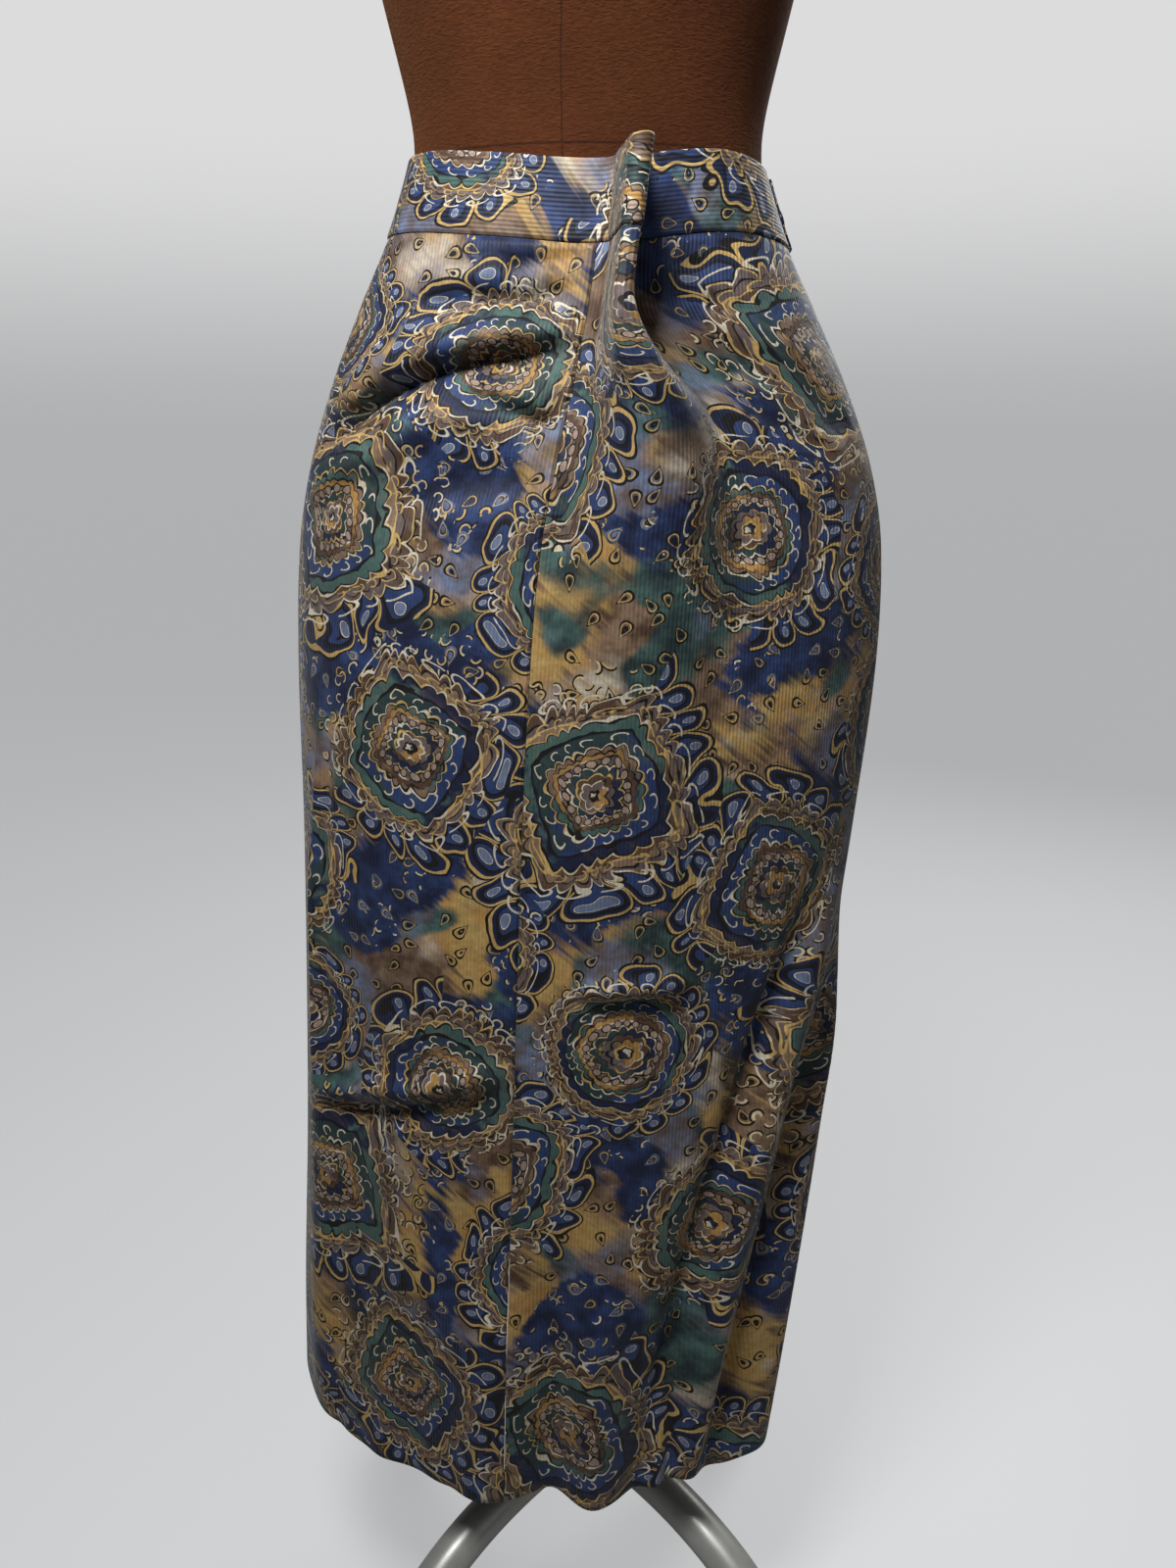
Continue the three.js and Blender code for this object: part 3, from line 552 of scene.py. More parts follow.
def paintPetals(add, colour, rows, angle, radius, feel):
    rim, tremble = petalShape["rim"], petalShape["tremble"]
    for middle, count, halfLength, halfWidth, fill, line, kind in rows:
        cell = add("Math MULTIPLY", [angle, count / (2 * math.pi)])
        cell = add("Math FRACT", [cell])
        sideways = add("Math MULTIPLY_ADD", [cell, 1 / halfWidth, -0.5 / halfWidth])
        sideways = add("Math MULTIPLY_ADD", [feel["tremor"][0], tremble, sideways])
        start = -middle / halfLength
        outward = add("Math MULTIPLY_ADD", [radius, 1 / halfLength, start])
        outward = add("Math MULTIPLY_ADD", [feel["tremor"][1], tremble, outward])
        away = add("CombineXYZ", [sideways, outward])
        away = add("VectorMath LENGTH", [away]).outputs[1]
        if fill:
            inside = add("Math LESS_THAN", [away, rim])
            if kind == "fan":
                inside = add("Math MULTIPLY", [inside, feel["fan"]])
            colour = add("MixRGB", [inside, colour, dye[fill]])
        lineWidth = petalShape["fanLine" if kind == "fan" else "curlLine"]
        drawn = add("Math COMPARE", [away, rim, lineWidth])
        if kind == "fan":
            drawn = add("Math MULTIPLY", [drawn, feel["fan"]])
        if kind == "curl":
            lean = add("Math ADD", [sideways, outward])
            lean = add("Math GREATER_THAN", [lean, feel["pressure"]])
            drawn = add("Math MULTIPLY", [drawn, lean])
        colour = add("MixRGB", [drawn, colour, dye[line]])
        if kind == "fan":
            inked = add("Math COMPARE", [away, petalShape["inkRim"], petalShape["inkLine"]])
            inked = add("Math MULTIPLY", [inked, feel["fan"]])
            colour = add("MixRGB", [inked, colour, dye["ink"]])
    return colour


# scattered cells: the way from a cell's middle, turned at random, and the cell's three chances
def scatter(add, place, spacing, randomness):
    spaced = add("VectorMath SCALE", {0: place, "Scale": 1 / spacing})
    cells = {"Vector": spaced, "Scale": 1.0, "Randomness": randomness}
    cells = add("TexVoronoi", cells, voronoi_dimensions="2D")
    away = add("VectorMath SUBTRACT", [spaced, cells.outputs["Position"]])
    chance = add("SeparateColor", [cells.outputs["Color"]]).outputs
    turn = add("Math MULTIPLY", [chance[0], 2 * math.pi])
    return add("VectorRotate", {"Vector": away, "Angle": turn}, rotation_type="Z_AXIS"), chance


def washDyes(add, drawn, brush, mixing):
    colour = add("MixRGB", [mixing, dye["brown"], dye["tan"]])
    for size, seed, threshold, softness, brushed, first, second in washes:
        patch = add("VectorMath ADD", [drawn, (seed * 31, seed * 17, 0)])
        patch = add("TexNoise", {
            "Vector": patch, "Scale": 1 / size, "Detail": 2.0, "Roughness": 0.4, "Distortion": 0.3,
        })
        patch = add("Math MULTIPLY_ADD", [brush, brushed, patch])
        middle = threshold + brushed / 2
        ends = [patch, middle - softness, middle + softness]
        patch = add("MapRange", ends, interpolation_type="SMOOTHSTEP")
        mixed = add("MixRGB", [mixing, dye[second], dye[first]])
        colour = add("MixRGB", [patch, colour, mixed])
    return colour, patch


# a drop in most cells
def drawSeeds(add, colour, place, tremor, isBlue):
    seed, chance = scatter(add, place, drawing["seed"], 0.85)
    across, down = add("SeparateXYZ", [seed]).outputs[:2]
    taper = add("Math MULTIPLY_ADD", [down, seedShape["taper"], 1.0])
    taper = add("Math MAXIMUM", [taper, seedShape["narrowest"]])
    wide = add("Math DIVIDE", [across, taper])
    long = add("Math MULTIPLY", [down, seedShape["stretch"]])
    seed = add("CombineXYZ", [wide, long])
    seed = add("VectorMath LENGTH", [seed]).outputs[1]
    seed = add("Math MULTIPLY_ADD", [tremor, seedShape["tremble"], seed])
    present = add("Math GREATER_THAN", [chance[1], seedShape["missing"]])
    pale = add("Math MULTIPLY", [isBlue, chance[2]])
    ink = add("MixRGB", [pale, dye["ink"], dye["sky"]])
    # the outline, a gold line within it and the heart: radius, line width and tone
    for size, width, tone in ((0.150, 0.021, ink), (0.116, 0.012, dye["gold"]), (0.035, 0.034, ink)):
        outline = add("Math COMPARE", [seed, size, width])
        outline = add("Math MULTIPLY", [outline, present])
        colour = add("MixRGB", [outline, colour, tone])
    return colour


# an open loop in each small cell, with a line of shadow round it
def drawCurls(add, colour, drawn, curled):
    curl, chance = scatter(add, drawn, drawing["curl"], 0.9)
    opening = add("SeparateXYZ", [curl])
    opening = add("Math GREATER_THAN", [opening, curlShape["openFrom"]])
    curl = add("VectorMath LENGTH", [curl]).outputs[1]
    bright = add("MixRGB", [chance[1], dye["gold"], dye["cream"]])
    for size, tone in ((curlShape["shadow"], dye["ink"]), (curlShape["radius"], bright)):
        loop = add("Math COMPARE", [curl, size, curlShape["line"]])
        loop = add("Math MULTIPLY", [loop, opening])
        loop = add("Math MULTIPLY", [loop, curled])
        colour = add("MixRGB", [loop, colour, tone])
    return colour


# the nearest medallion: its own frame in x and y and its character in z, how far its middle is, its shape
def nearestMedallion(add, drawn):
    halfWidth, halfLength = drawing["repeatWidth"] / 2, drawing["repeatLength"] / 2
    tile = [(halfWidth, halfLength, 1), (-halfWidth, -halfLength, -1)]
    local = None
    for x, y, size, degrees, character, diamond in medallions:
        away = add("VectorMath SUBTRACT", [drawn, (x, y, 0)])
        away = add("VectorMath WRAP", [away, *tile])
        away = add("Mapping", {
            "Vector": away, "Location": (0, 0, character), "Rotation": (0, 0, math.radians(degrees)),
            "Scale": (1 / size, 1 / size, 0),
        })
        across = add("VectorMath MULTIPLY", [away, (1, 1, 0)])
        far = add("VectorMath LENGTH", [across]).outputs[1]
        if local is None:
            local, best, isDiamond = away.outputs[0], far, float(diamond)
            continue
        closer = add("Math LESS_THAN", [far, best])
        local = add("Mix", {0: closer, 4: local, 5: away}, data_type="VECTOR").outputs[1]
        isDiamond = add("Mix", {0: closer, 2: isDiamond, 3: float(diamond)})
        best = add("Math MINIMUM", [far, best])
    return local, best, isDiamond


def printGroup():
    tree = bpy.data.node_groups.new("paintedPrint", "ShaderNodeTree")
    tree.interface.new_socket(name="Place", in_out="INPUT", socket_type="NodeSocketVector")
    tree.interface.new_socket(name="Colour", in_out="OUTPUT", socket_type="NodeSocketColor")
    add = partial(addNode, tree)
    start = add("NodeGroupInput")
    place = add("VectorMath SCALE", {0: start, "Scale": 1 / mm})  # from metres to millimetres

    # a hand strays from its line slowly, and trembles along it
    evenly = (0.5, 0.5, 0.5)
    stray = add("TexNoise", {"Vector": place, "Scale": 1 / drawing["strayLength"], "Detail": 1.0})
    stray = add("VectorMath SUBTRACT", [stray.outputs["Color"], evenly])
    stray = add("VectorMath SCALE", {0: stray, "Scale": drawing["stray"]})
    drawn = add("VectorMath ADD", [place, stray])
    strayed = add("SeparateXYZ", [stray])
    tremor = {"Vector": place, "Scale": 1 / drawing["tremor"], "Detail": 1.0, "Roughness": 0.4}
    tremor = add("TexNoise", tremor)
    tremor = add("VectorMath SUBTRACT", [tremor.outputs["Color"], evenly])
    tremor = list(add("SeparateXYZ", [tremor]).outputs)
    pressure = add("TexNoise", {"Vector": place, "Scale": 1 / drawing["pressure"], "Detail": 1.0})
    cloud = add("TexNoise", {"Vector": place, "Scale": 1 / drawing["cloud"], "Detail": 3.0, "Roughness": 0.6})
    grain = add("TexNoise", {"Vector": place, "Scale": 1 / drawing["grain"], "Detail": 3.0, "Roughness": 0.7})
    # dry brush strokes on a slant
    brush = {"Vector": place, "Angle": math.radians(drawing["strokeSlant"])}
    brush = add("VectorRotate", brush, rotation_type="Z_AXIS")
    stroke = (1 / drawing["strokeLength"], 1 / drawing["strokeGap"], 1)
    brush = add("VectorMath MULTIPLY", [brush, stroke])
    brush = add("TexNoise", {"Vector": brush, "Scale": 1.0, "Detail": 2.0})

    mixing = add("MapRange", [cloud, 0.4, 0.62])
    colour, isBlue = washDyes(add, drawn, brush, mixing)
    colour = drawSeeds(add, colour, place, tremor[2], isBlue)

    local, best, isDiamond = nearestMedallion(add, drawn)
    x, y, character = add("SeparateXYZ", [local]).outputs
    angle = add("Math ARCTAN2", [y, x])
    sizeX = add("Math ABSOLUTE", [x])
    sizeY = add("Math ABSOLUTE", [y])
    square = add("Math ADD", [sizeX, sizeY])
    share = add("Math MULTIPLY", [isDiamond, medallionShape["square"]])
    radius = add("Mix", {0: share, 2: best, 3: square})
    # each medallion spaces its bands in its own way
    power = add("Math MULTIPLY_ADD", [character, medallionShape["morePower"], medallionShape["leastPower"]])
    radius = add("Math POWER", [radius, power])

    # one side of a medallion is dyed unlike the other
    lean = add("Math MULTIPLY_ADD", [character, 17.0, angle])
    lean = add("Math SINE", [lean])
    mottled = add("Math MULTIPLY_ADD", [cloud, 4.0, -2.0])
    leaning = add("Math ADD", [lean, mottled])
    turned = add("Math MULTIPLY_ADD", [character, 9.0, angle])
    turned = add("Math COSINE", [turned])
    turned = add("Math ADD", [turned, mottled])
    fan = add("Math LESS_THAN", [lean, medallionShape["fanBelow"]])
    feel = {
        "tremor": tremor,
        "pressure": add("MapRange", [pressure, 0.3, 0.7, -0.9, 0.5]),
        "lightness": add("MapRange", [pressure, 0.35, 0.65, 0.65, 2.1]),
        "tint": add("MapRange", [cloud, 0.47, 0.53]),
        "sweep": [
            add("MapRange", [leaning, -0.35, 0.35], interpolation_type="SMOOTHSTEP"),
            add("MapRange", [turned, -0.35, 0.35], interpolation_type="SMOOTHSTEP"),
        ],
        "strength": add("MapRange", [brush, 0.3, 0.5, 0.7, 1.0]),
        "fan": fan,
    }
    # curls grow round a medallion where it has no fan, and in sprays over the blue
    near = add("Math LESS_THAN", [best, medallionShape["curlsWithin"]])
    near = add("Math MULTIPLY", [near, add("Math SUBTRACT", [1.0, fan])])
    spray = add("Math GREATER_THAN", [cloud, medallionShape["curlsAbove"]])
    spray = add("Math MULTIPLY", [spray, isBlue])
    colour = drawCurls(add, colour, drawn, add("Math MAXIMUM", [near, spray]))

    angle = add("Math MULTIPLY_ADD", [strayed.outputs[2], medallionShape["unevenLobes"], angle])
    colour = paintPetals(add, colour, petalRows, angle, radius, feel)
    colour = paintBands(add, colour, angle, radius, feel)
    colour = paintPetals(add, colour, curlRows, angle, radius, feel)

    # the dye's uneven take-up
    shade = add("MapRange", [grain, 0.25, 0.75, 0.74, 1.2])
    depth = add("MapRange", [cloud, 0.3, 0.7, 0.8, 1.2])
    shade = add("Math MULTIPLY", [shade, depth])
    colour = add("VectorMath SCALE", {0: colour, "Scale": shade})
    add("NodeGroupOutput", [colour])
    return tree


# printed rayon crepe: a limp woven cloth, screen-dyed, whose fine upright ribs break up a faint sheen
clothLook = {
    "ribSpacing": 2.4, "ribDepth": 0.22, "crumpleSize": 22, "crumpleDepth": 1.9,  # millimetres
    "roughness": 0.62, "sheen": 0.12, "sheenRoughness": 0.4, "specular": 0.35,
}


# turn in degrees and shift in metres place the print on a piece's own cloth
def printedCloth(name, turn, shift):
    material, add, shader = newMaterial(name)
    flat = add("UVMap", uv_map="flat")
    place = add("Mapping", {
        "Vector": flat.outputs[0], "Location": (*shift, 0), "Rotation": (0, 0, math.radians(turn)),
    })
    group = add("Group", [place], node_tree=paintedPrint)
    # the ribs are 1.5 mm apart, drawn coarser so that they show; the wave node has a band every pi / 10
    ribs = add("TexWave", {
        "Vector": place, "Scale": math.pi / 10 / (clothLook["ribSpacing"] * mm),
        "Distortion": 0.5, "Detail": 1.0, "Detail Scale": 0.2,
    })
    crumple = add("TexNoise", {"Vector": place, "Scale": 1 / (clothLook["crumpleSize"] * mm), "Detail": 3.0})
    height = add("Math MULTIPLY", [ribs, clothLook["ribDepth"] * mm])
    height = add("Math MULTIPLY_ADD", [crumple, clothLook["crumpleDepth"] * mm, height])
    bump = add("Bump", {"Strength": 1.0, "Distance": 1.0, "Height": height})
    # painted shade in the rib troughs and painted highlight on their crests, on top of the bump's own shading
    ribPaintedShadeAndHighlight = add("MapRange", [ribs, 0.0, 1.0, 0.9, 1.06])
    colour = add("VectorMath SCALE", {0: group, "Scale": ribPaintedShadeAndHighlight})
    fillInputs(shader, {
        "Base Color": colour, "Normal": bump, "Roughness": clothLook["roughness"],
        "Sheen Weight": clothLook["sheen"], "Sheen Roughness": clothLook["sheenRoughness"],
        "Specular IOR Level": clothLook["specular"],
    })
    return material


paintedPrint = printGroup()
frontRightCloth = printedCloth("printedRayonFrontRight", 0, (0.02, 0.0))
frontLeftCloth = printedCloth("printedRayonFrontLeft", 180, (0.11, 0.2))
backCloth = printedCloth("printedRayonBack", 0, (0.07, 0.13))
bandCloth = printedCloth("printedRayonBand", 90, (0.35, 0.32))
print("print drawn")

# counts and millimetres; a rounded edge's points lie so far from the edge and in from the face
band = {
    "columns": 300, "flatFrom": 3, "faceRows": 9, "insideRows": 4,
    "footOutside": [(0, 0.6), (0.8, 0.1)], "footInside": (0.6, 0.4),
    "topOutside": [(1.0, 0.15), (0.2, 0.6), (0, 1.0)], "topInside": [(0.2, 0.4), (1.0, 0)],
    "lapColumns": 24, "lapAhead": 14, "lapBehind": 20, "lapInset": 1.5, "lapGap": 0.3,
}
half = cloth["seamGap"] / 2
top, bottom = cloth["bandTop"], cloth["bandBottom"]


# rounded section of a folded strip, from the foot of its outer face over the top edge and down inside
def bandProfile(top, bottom, lift, thickness):
    outer = lift + thickness
    flatTop, flatFoot = top - band["flatFrom"], bottom + band["flatFrom"]
    profile = [(bottom, lift + band["footInside"][1])]
    profile += [(bottom + up, outer - inward) for up, inward in band["footOutside"]]
    profile += [(height, outer) for height in np.linspace(flatFoot, flatTop, band["faceRows"])]
    profile += [(top - down, outer - inward) for down, inward in band["topOutside"]]
    profile += [(top - down, lift + inward) for down, inward in band["topInside"]]
    profile += [(height, lift) for height in np.linspace(flatTop, flatFoot, band["insideRows"])]
    return profile + [(bottom + band["footInside"][0], lift)]


# once round, from the wearer's left side seam back to it
def wholeBand(height):
    ring = ringAt(height)
    return np.linspace(ring["leftFront"] - ring["flat"] + half, ring["leftFront"] - half, band["columns"])


def bandLap(height):
    side = ringAt(height)["leftFront"]
    return np.linspace(side - band["lapAhead"], side + band["lapBehind"], band["lapColumns"])


profile = bandProfile(top, bottom, 0.0, cloth["bandThickness"])
waistBand = stripPiece("waistBand", wholeBand, profile, bandCloth, "waistband")
girth = ringAt((top + bottom) / 2)["flat"] * mm
lapLift = cloth["bandThickness"] + band["lapGap"]
inset = band["lapInset"]
profile = bandProfile(top - inset, bottom + inset, lapLift, cloth["bandThickness"])
bandEnd = stripPiece("waistBandEnd", bandLap, profile, bandCloth, "waistband_lap")
print("waistband folded")


def rightFrontEdges(height):
    return -ringAt(height)["rightFront"] + half, -half


def leftFrontEdges(height):
    return half, ringAt(height)["leftFront"] - half


def backEdges(height):
    ring = ringAt(height)
    return ring["leftFront"] + half, ring["flat"] - ring["rightFront"] - half


panelPiece("frontRightPanel", rightFrontEdges, frontRightCloth, "front_right", columns=72)
panelPiece("frontLeftPanel", leftFrontEdges, frontLeftCloth, "front_left", columns=112)
panelPiece("backPanel", backEdges, backCloth, "back", columns=110)
print("panels draped")

# millimetres, but for how far across the lap the button sits
buttonSize = {
    "radius": 6.5, "thickness": 3.2, "edgeRound": 0.25, "rim": 0.9, "slope": 0.5, "dish": 0.7,
    "rise": 1.5, "riseHeight": 0.15, "hole": 0.75, "holeFromMiddle": 1.6, "drill": 10, "lapShare": 0.4,
}
buttonLook = {"dark": "141b33", "light": "2a3555", "swirl": 2.381}  # swirls in millimetres

low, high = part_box("button")
buttonMiddle = Vector(((low[i] + high[i]) / 2 for i in range(3)))
height = (top + bottom) / 2
buttonAcross = np.array([ringAt(height)["leftFront"] + band["lapBehind"] * buttonSize["lapShare"]])
outward = Vector(clothOutward(buttonAcross, height)[0])
onBand = Matrix.Translation(buttonMiddle) @ outward.to_track_quat("Z", "X").to_matrix().to_4x4()

radius, depth = buttonSize["radius"] * mm, buttonSize["thickness"] * mm
bpy.ops.mesh.primitive_cylinder_add(vertices=48, radius=radius, depth=depth)
button = bpy.context.object
button.name = "buttonMoulded"
bpy.ops.object.mode_set(mode="EDIT")
bpy.ops.mesh.select_all(action="DESELECT")
edit = bmesh.from_edit_mesh(button.data)
for face in edit.faces:
    face.select = face.normal.z > 0.9
bmesh.update_edit_mesh(button.data)
bpy.ops.mesh.inset(thickness=buttonSize["rim"] * mm)
bpy.ops.mesh.inset(thickness=buttonSize["slope"] * mm, depth=-buttonSize["dish"] * mm)
bpy.ops.mesh.inset(thickness=buttonSize["rise"] * mm, depth=buttonSize["riseHeight"] * mm)
bpy.ops.object.mode_set(mode="OBJECT")
radius, depth = buttonSize["hole"] * mm, buttonSize["drill"] * mm
for turn in range(4):
    around = math.radians(45 + 90 * turn)
    place = Vector((math.cos(around), math.sin(around), 0)) * buttonSize["holeFromMiddle"] * mm
    bpy.ops.mesh.primitive_cylinder_add(vertices=16, radius=radius, depth=depth, location=place)
    drill = bpy.context.object
    applyModifier(button, "BOOLEAN", object=drill, operation="DIFFERENCE", solver="EXACT")
    bpy.data.objects.remove(drill)
bevel = {"width": buttonSize["edgeRound"] * mm, "segments": 2, "angle_limit": math.radians(40)}
applyModifier(button, "BEVEL", limit_method="ANGLE", **bevel)
button.data.transform(onBand)
selectOnly(button)
bpy.ops.object.shade_smooth_by_angle(angle=math.radians(35))

# polyester button: cast resin, tumbled to a low gloss
buttonResin, add, shader = newMaterial("castPolyesterButton")
place = add("TexCoord").outputs["Object"]
swirl = {"Vector": place, "Scale": 1 / (buttonLook["swirl"] * mm), "Detail": 2.0, "Distortion": 1.5}
swirl = add("TexNoise", swirl)
colour = add("MixRGB", [swirl, buttonLook["dark"], buttonLook["light"]])
rough = add("MapRange", [swirl, 0.3, 0.7, 0.24, 0.36])
fillInputs(shader, {"Base Color": colour, "Roughness": rough})
finishPiece(button, buttonResin, "button", "button")

# millimetres
sewing = {"radius": 0.28, "length": 3.0, "aside": 1.12, "above": 1.15, "twist": 1.111}
sewingLook = {"dark": "20263f", "light": "3a4263"}

# two bars of thread over the holes
bars = []
radius, depth = sewing["radius"] * mm, sewing["length"] * mm
for side in (-1, 1):
    bpy.ops.mesh.primitive_cylinder_add(vertices=10, radius=radius, depth=depth, rotation=(0, math.pi / 2, 0))
    bar = bpy.context.object
    bar.data.transform(bar.matrix_world)
    bar.matrix_world = Matrix.Identity(4)
    bar.data.transform(onBand @ Matrix.Translation((0, side * sewing["aside"] * mm, sewing["above"] * mm)))
    bars.append(bar)
selectOnly(*bars)
bpy.ops.object.join()
thread = bars[0]
thread.name = "buttonThread"
bpy.ops.object.shade_smooth()
# spun polyester thread: twisted, matt, dark
threadFibre, add, shader = newMaterial("spunPolyesterThread")
place = add("TexCoord").outputs["Object"]
twist = {"Vector": place, "Scale": 1 / (sewing["twist"] * mm), "Distortion": 1.0}
twist = add("TexWave", twist, bands_direction="DIAGONAL")
colour = add("MixRGB", [twist, sewingLook["dark"], sewingLook["light"]])
fillInputs(shader, {"Base Color": colour, "Roughness": 0.85})
finishPiece(thread, threadFibre, "button")
print("button sewn on")

# places and sizes in millimetres; tufts across and down the form, drawn coarser than the real pile
formLook = {
    "seamPlace": -14.5, "seamWidth": 0.5, "seamStray": 4, "seamDepth": 1.2,
    "sideSeam": 4, "waistSeam": 1036, "waistWidth": 0.7,
    "tuftAcross": 3.846, "tuftDown": 1.4286, "tuftDepth": 1.1, "wornPatch": 45,
    "dark": "31160a", "light": "5f3319", "seam": "1c0d08", "nap": "c98a5e",
}

# the covered trunk: a smooth copy of the solid
trunk = bpy.data.objects.new("formTrunk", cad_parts["form_trunk"].data.copy())
bpy.context.collection.objects.link(trunk)
selectOnly(trunk)
bpy.ops.object.mode_set(mode="EDIT")
bpy.ops.mesh.select_all(action="SELECT")
bpy.ops.mesh.remove_doubles(threshold=0.02 * mm)
bpy.ops.mesh.tris_convert_to_quads(face_threshold=math.radians(60), shape_threshold=math.radians(60))
bpy.ops.object.mode_set(mode="OBJECT")
applyModifier(trunk, "SUBSURF", levels=2, render_levels=2)
bpy.ops.object.shade_smooth()

# cotton velveteen: a short brushed pile that scatters light at its edges, worn unevenly
velveteen, add, shader = newMaterial("brushedCottonVelveteen")
place = add("TexCoord").outputs["Object"]
local = add("VectorMath SUBTRACT", [place, tuple(poleAxis)])
parts = add("SeparateXYZ", [local])
tufts = [1 / (formLook[size] * mm) for size in ("tuftAcross", "tuftAcross", "tuftDown")]
pile = add("Mapping", {"Vector": local, "Scale": tufts})
pile = add("TexNoise", {"Vector": pile, "Scale": 1.0, "Detail": 3.0, "Roughness": 0.65, "Distortion": 0.6})
worn = add("TexNoise", {"Vector": local, "Scale": 1 / (formLook["wornPatch"] * mm), "Detail": 3.0})
colour = add("MixRGB", [pile, formLook["dark"], formLook["light"]])
shade = add("MapRange", [worn, 0.3, 0.7, 0.82, 1.16])
colour = add("VectorMath SCALE", {0: colour, "Scale": shade})
stray = formLook["seamStray"] * mm
waver = add("Math MULTIPLY_ADD", [worn, stray, formLook["seamPlace"] * mm - stray / 2])
seam = add("Math COMPARE", [parts.outputs[0], waver, formLook["seamWidth"] * mm])
front = add("Math LESS_THAN", [parts.outputs[1], 0.0])
seam = add("Math MULTIPLY", [seam, front])
sides = add("Math COMPARE", [parts.outputs[1], formLook["sideSeam"] * mm, formLook["seamWidth"] * mm])
waist = add("Math COMPARE", [parts.outputs[2], formLook["waistSeam"] * mm, formLook["waistWidth"] * mm])
for other in (sides, waist):
    seam = add("Math MAXIMUM", [seam, other])
shade = add("Math MULTIPLY", [seam, 0.55])
colour = add("MixRGB", [shade, colour, formLook["seam"]])
height = add("Math MULTIPLY", [seam, -formLook["seamDepth"] * mm])
height = add("Math MULTIPLY_ADD", [pile, formLook["tuftDepth"] * mm, height])
bump = add("Bump", {"Strength": 1.0, "Distance": 1.0, "Height": height})
fillInputs(shader, {
    "Base Color": colour, "Normal": bump, "Roughness": 0.95, "Specular IOR Level": 0.15,
    "Sheen Weight": 0.2, "Sheen Roughness": 0.5, "Sheen Tint": formLook["nap"],
})
finishPiece(trunk, velveteen, "form_cover", "form_trunk")

# grain and flecks in millimetres, along the board and across it
woodLook = {
    "grain": (45.45, 5.556, 5.556), "fleck": (4.0, 0.6667, 0.6667),
    "dark": "9a713f", "light": "c9a16a", "fleckTone": "6b4724",
}

# varnished beech: straight grain with short dark flecks under a clear coat
beech, add, shader = newMaterial("varnishedBeech")
place = add("TexCoord").outputs["Object"]
growth, fleck = [
    add("Mapping", {"Vector": place, "Scale": [1 / (size * mm) for size in woodLook[pattern]]})
    for pattern in ("grain", "fleck")
]
growth = add("TexNoise", {"Vector": growth, "Scale": 1.0, "Detail": 4.0, "Distortion": 0.4})
fleck = add("TexNoise", {"Vector": fleck, "Scale": 1.0, "Detail": 1.0})
colour = add("MixRGB", [growth, woodLook["dark"], woodLook["light"]])
dark = add("MapRange", [fleck, 0.62, 0.7, 0.0, 0.45])
colour = add("MixRGB", [dark, colour, woodLook["fleckTone"]])
fillInputs(shader, {
    "Base Color": colour, "Roughness": 0.32, "Coat Weight": 0.4, "Coat Roughness": 0.15,
})

# orange peel, scuffs and dust in millimetres
standLook = {"peel": 1.111, "scuff": 28.57, "dark": "a9a8a2", "light": "c4c3bc", "dust": 6.25}

# powder-coated steel: sprayed and baked, with a fine orange-peel skin
coatedSteel, add, shader = newMaterial("powderCoatedSteel")
place = add("TexCoord").outputs["Object"]
peel = add("TexNoise", {"Vector": place, "Scale": 1 / (standLook["peel"] * mm), "Detail": 2.0})
scuff = {"Vector": place, "Scale": 1 / (standLook["scuff"] * mm), "Detail": 5.0, "Roughness": 0.7}
scuff = add("TexNoise", scuff)
colour = add("MixRGB", [scuff, standLook["dark"], standLook["light"]])
rough = add("MapRange", [scuff, 0.3, 0.7, 0.3, 0.46])
bump = add("Bump", {"Strength": 0.25, "Distance": 0.2 * mm, "Height": peel})
fillInputs(shader, {"Base Color": colour, "Roughness": rough, "Normal": bump, "Metallic": 0.35})

# moulded rubber: black, matt, dusty
mouldedRubber, add, shader = newMaterial("mouldedRubber")
place = add("TexCoord").outputs["Object"]
dust = add("TexNoise", {"Vector": place, "Scale": 1 / (standLook["dust"] * mm), "Detail": 3.0})
colour = add("MixRGB", [dust, "171717", "343331"])
fillInputs(shader, {"Base Color": colour, "Roughness": 0.8})

corners = ("front_left", "back_left", "back_right", "front_right")
nodeFinish = {"form_board": beech, "neck_cap": beech}
nodeFinish.update({name: coatedSteel for name in ("pole", "pole_collar", "hub")})
nodeFinish.update({"foot_" + corner: mouldedRubber for corner in corners})
for name, material in nodeFinish.items():
    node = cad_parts[name]
    node.data.materials.clear()
    node.data.materials.append(material)

# each leg leaves the hub level and curves down to its foot; millimetres, out from the pole and up
legs = {"tube": 15.0, "reach": 203.0, "rise": 102.0, "start": 32.45, "foot": 9.3, "steps": 28}
for index, corner in enumerate(corners):
    heading = math.radians(-45 + 90 * index)
    curve = bpy.data.curves.new("leg", "CURVE")
    curve.dimensions = "3D"
    curve.bevel_depth = legs["tube"] * mm
    curve.bevel_resolution = 6
    curve.use_fill_caps = True
    spline = curve.splines.new("POLY")
    spline.points.add(legs["steps"])
    for step in range(legs["steps"] + 1):
        turn = step / legs["steps"] * math.pi / 2
        out = legs["start"] + (legs["reach"] - legs["start"]) * math.sin(turn)
        height = legs["foot"] + legs["rise"] * math.cos(turn)
        place = poleAxis + Vector((out * math.cos(heading), out * math.sin(heading), height)) * mm
        spline.points[step].co = (*place, 1)
    leg = bpy.data.objects.new("leg" + corner.title().replace("_", ""), curve)
    bpy.context.collection.objects.link(leg)
    selectOnly(leg)
    bpy.ops.object.convert(target="MESH")
    leg = bpy.context.object
    bpy.ops.object.shade_smooth_by_angle(angle=math.radians(40))
    finishPiece(leg, coatedSteel, "stand_metal", "leg_" + corner)
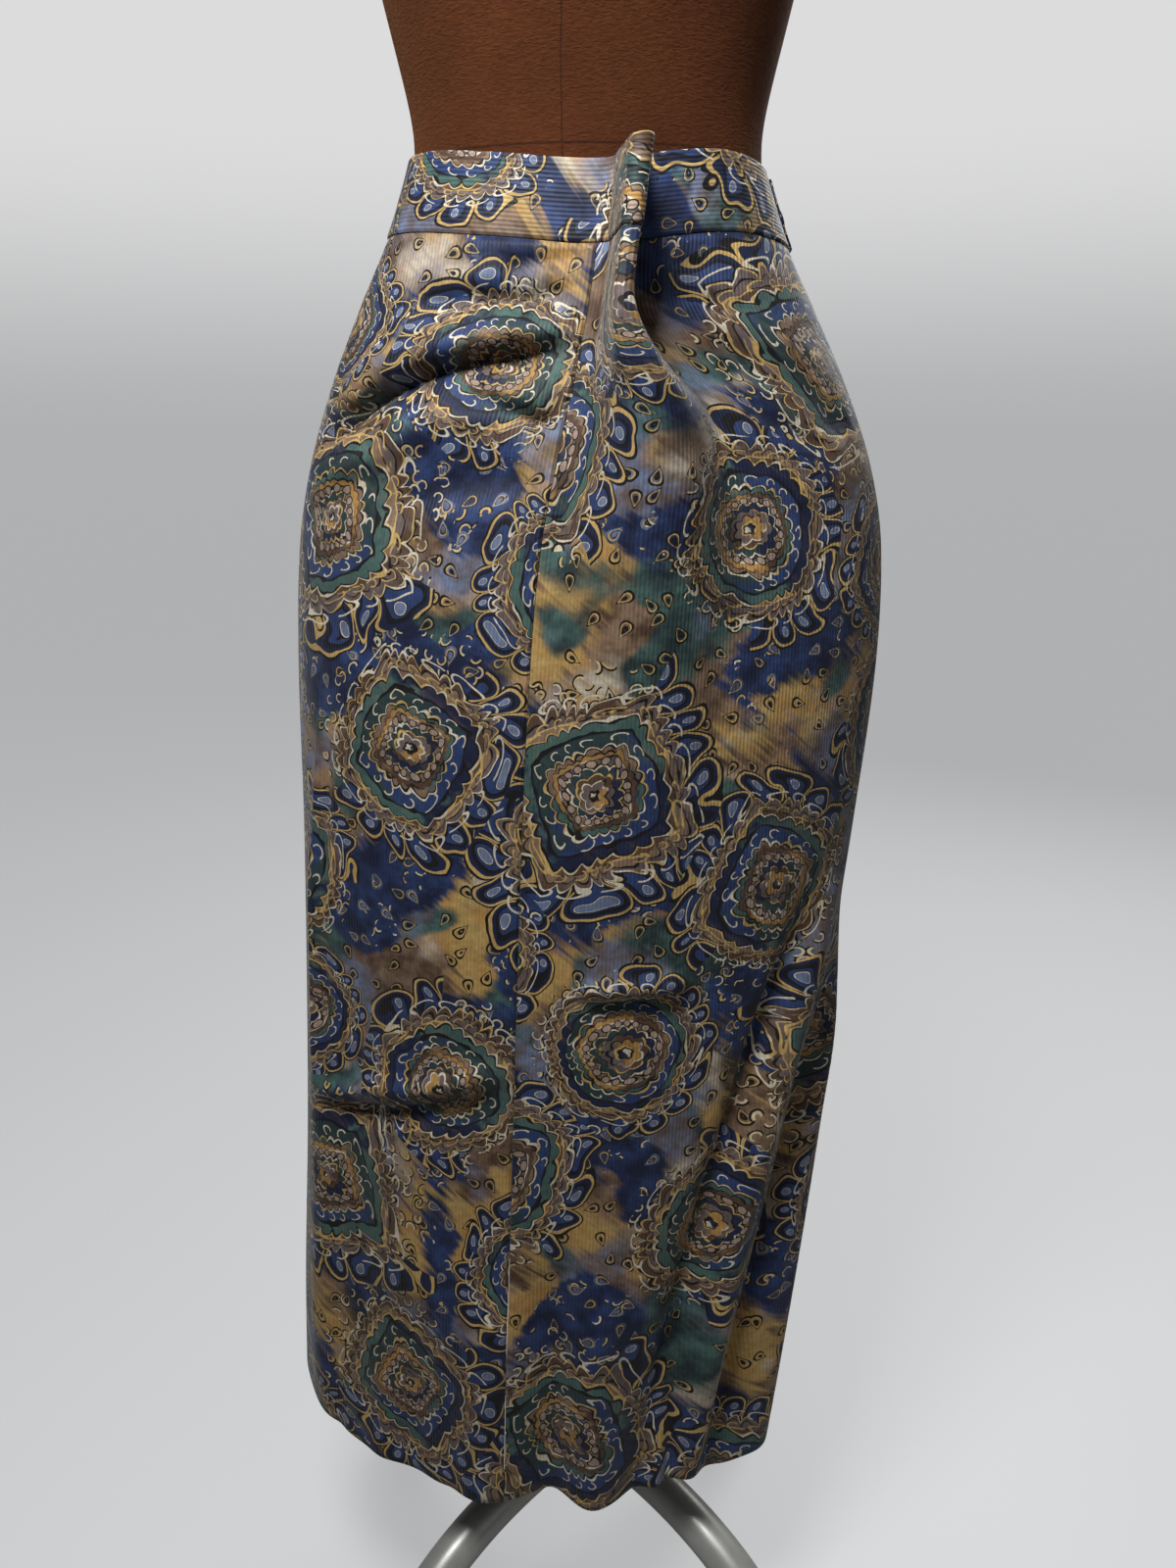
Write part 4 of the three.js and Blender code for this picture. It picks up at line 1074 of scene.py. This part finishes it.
print("form and stand finished")

# the floor's size in metres; the wall's fade is a share of the way up
studio = {
    "floor": "a6a6a5", "floorGlow": 0.433, "floorTint": "f4f5f7", "size": 60,
    "wall": "dcdcdd", "horizon": "b0b1b2", "fade": 0.22, "ambient": 0.095, "ambientTint": "eef1f6",
}

bpy.ops.mesh.primitive_plane_add(size=studio["size"], location=(0, 0, 0))
floor = bpy.context.object
floor.name = "floor"
material, add, shader = newMaterial("paleFloor")
# the floor looks paler than the light that it throws back
seenAtOnce = add("LightPath").outputs[0]
glow = add("Math MULTIPLY", [seenAtOnce, studio["floorGlow"]])
fillInputs(shader, {
    "Base Color": studio["floor"],
    "Emission Color": studio["floorTint"], "Emission Strength": glow,
})
floor.data.materials.append(material)


def softLight(name, place, aim, size, power, tint="ffffff"):
    bpy.ops.object.light_add(type="AREA", location=place)
    light = bpy.context.object
    light.name = name
    light.data.size = size
    light.data.energy = power
    light.data.color = toLinear(tint)[:3]
    light.rotation_euler = (Vector(aim) - Vector(place)).to_track_quat("-Z", "Y").to_euler()


softLight("keyLight", (-0.22, -0.62, 1.6), (0.02, 0, 0.99), 0.36, 13.2, "fafdff")
softLight("fillLight", (1.7, -1.3, 1.3), (0, 0, 0.7), 1.4, 1.6)
softLight("backLight", (0.9, 1.6, 1.8), (0, 0, 0.8), 1.2, 22)
world = bpy.data.worlds.new("studio")
world.use_nodes = True
add = partial(addNode, world.node_tree)
lit = world.node_tree.nodes["Background"]
fillInputs(lit, [studio["ambientTint"], studio["ambient"]])
# the wall behind looks brighter than the light that it gives, and fades to the floor at eye level
rise = add("SeparateXYZ", [add("TexCoord").outputs["Generated"]])
rise = add("MapRange", [rise.outputs[2], 0.0, studio["fade"]], interpolation_type="SMOOTHSTEP")
shade = add("MixRGB", [rise, studio["horizon"], studio["wall"]])
seen = add("Background", [shade, 1.0])
both = add("MixShader", [add("LightPath"), lit, seen])
fillInputs(world.node_tree.nodes["World Output"], [both])
bpy.context.scene.world = world
print("studio lit")
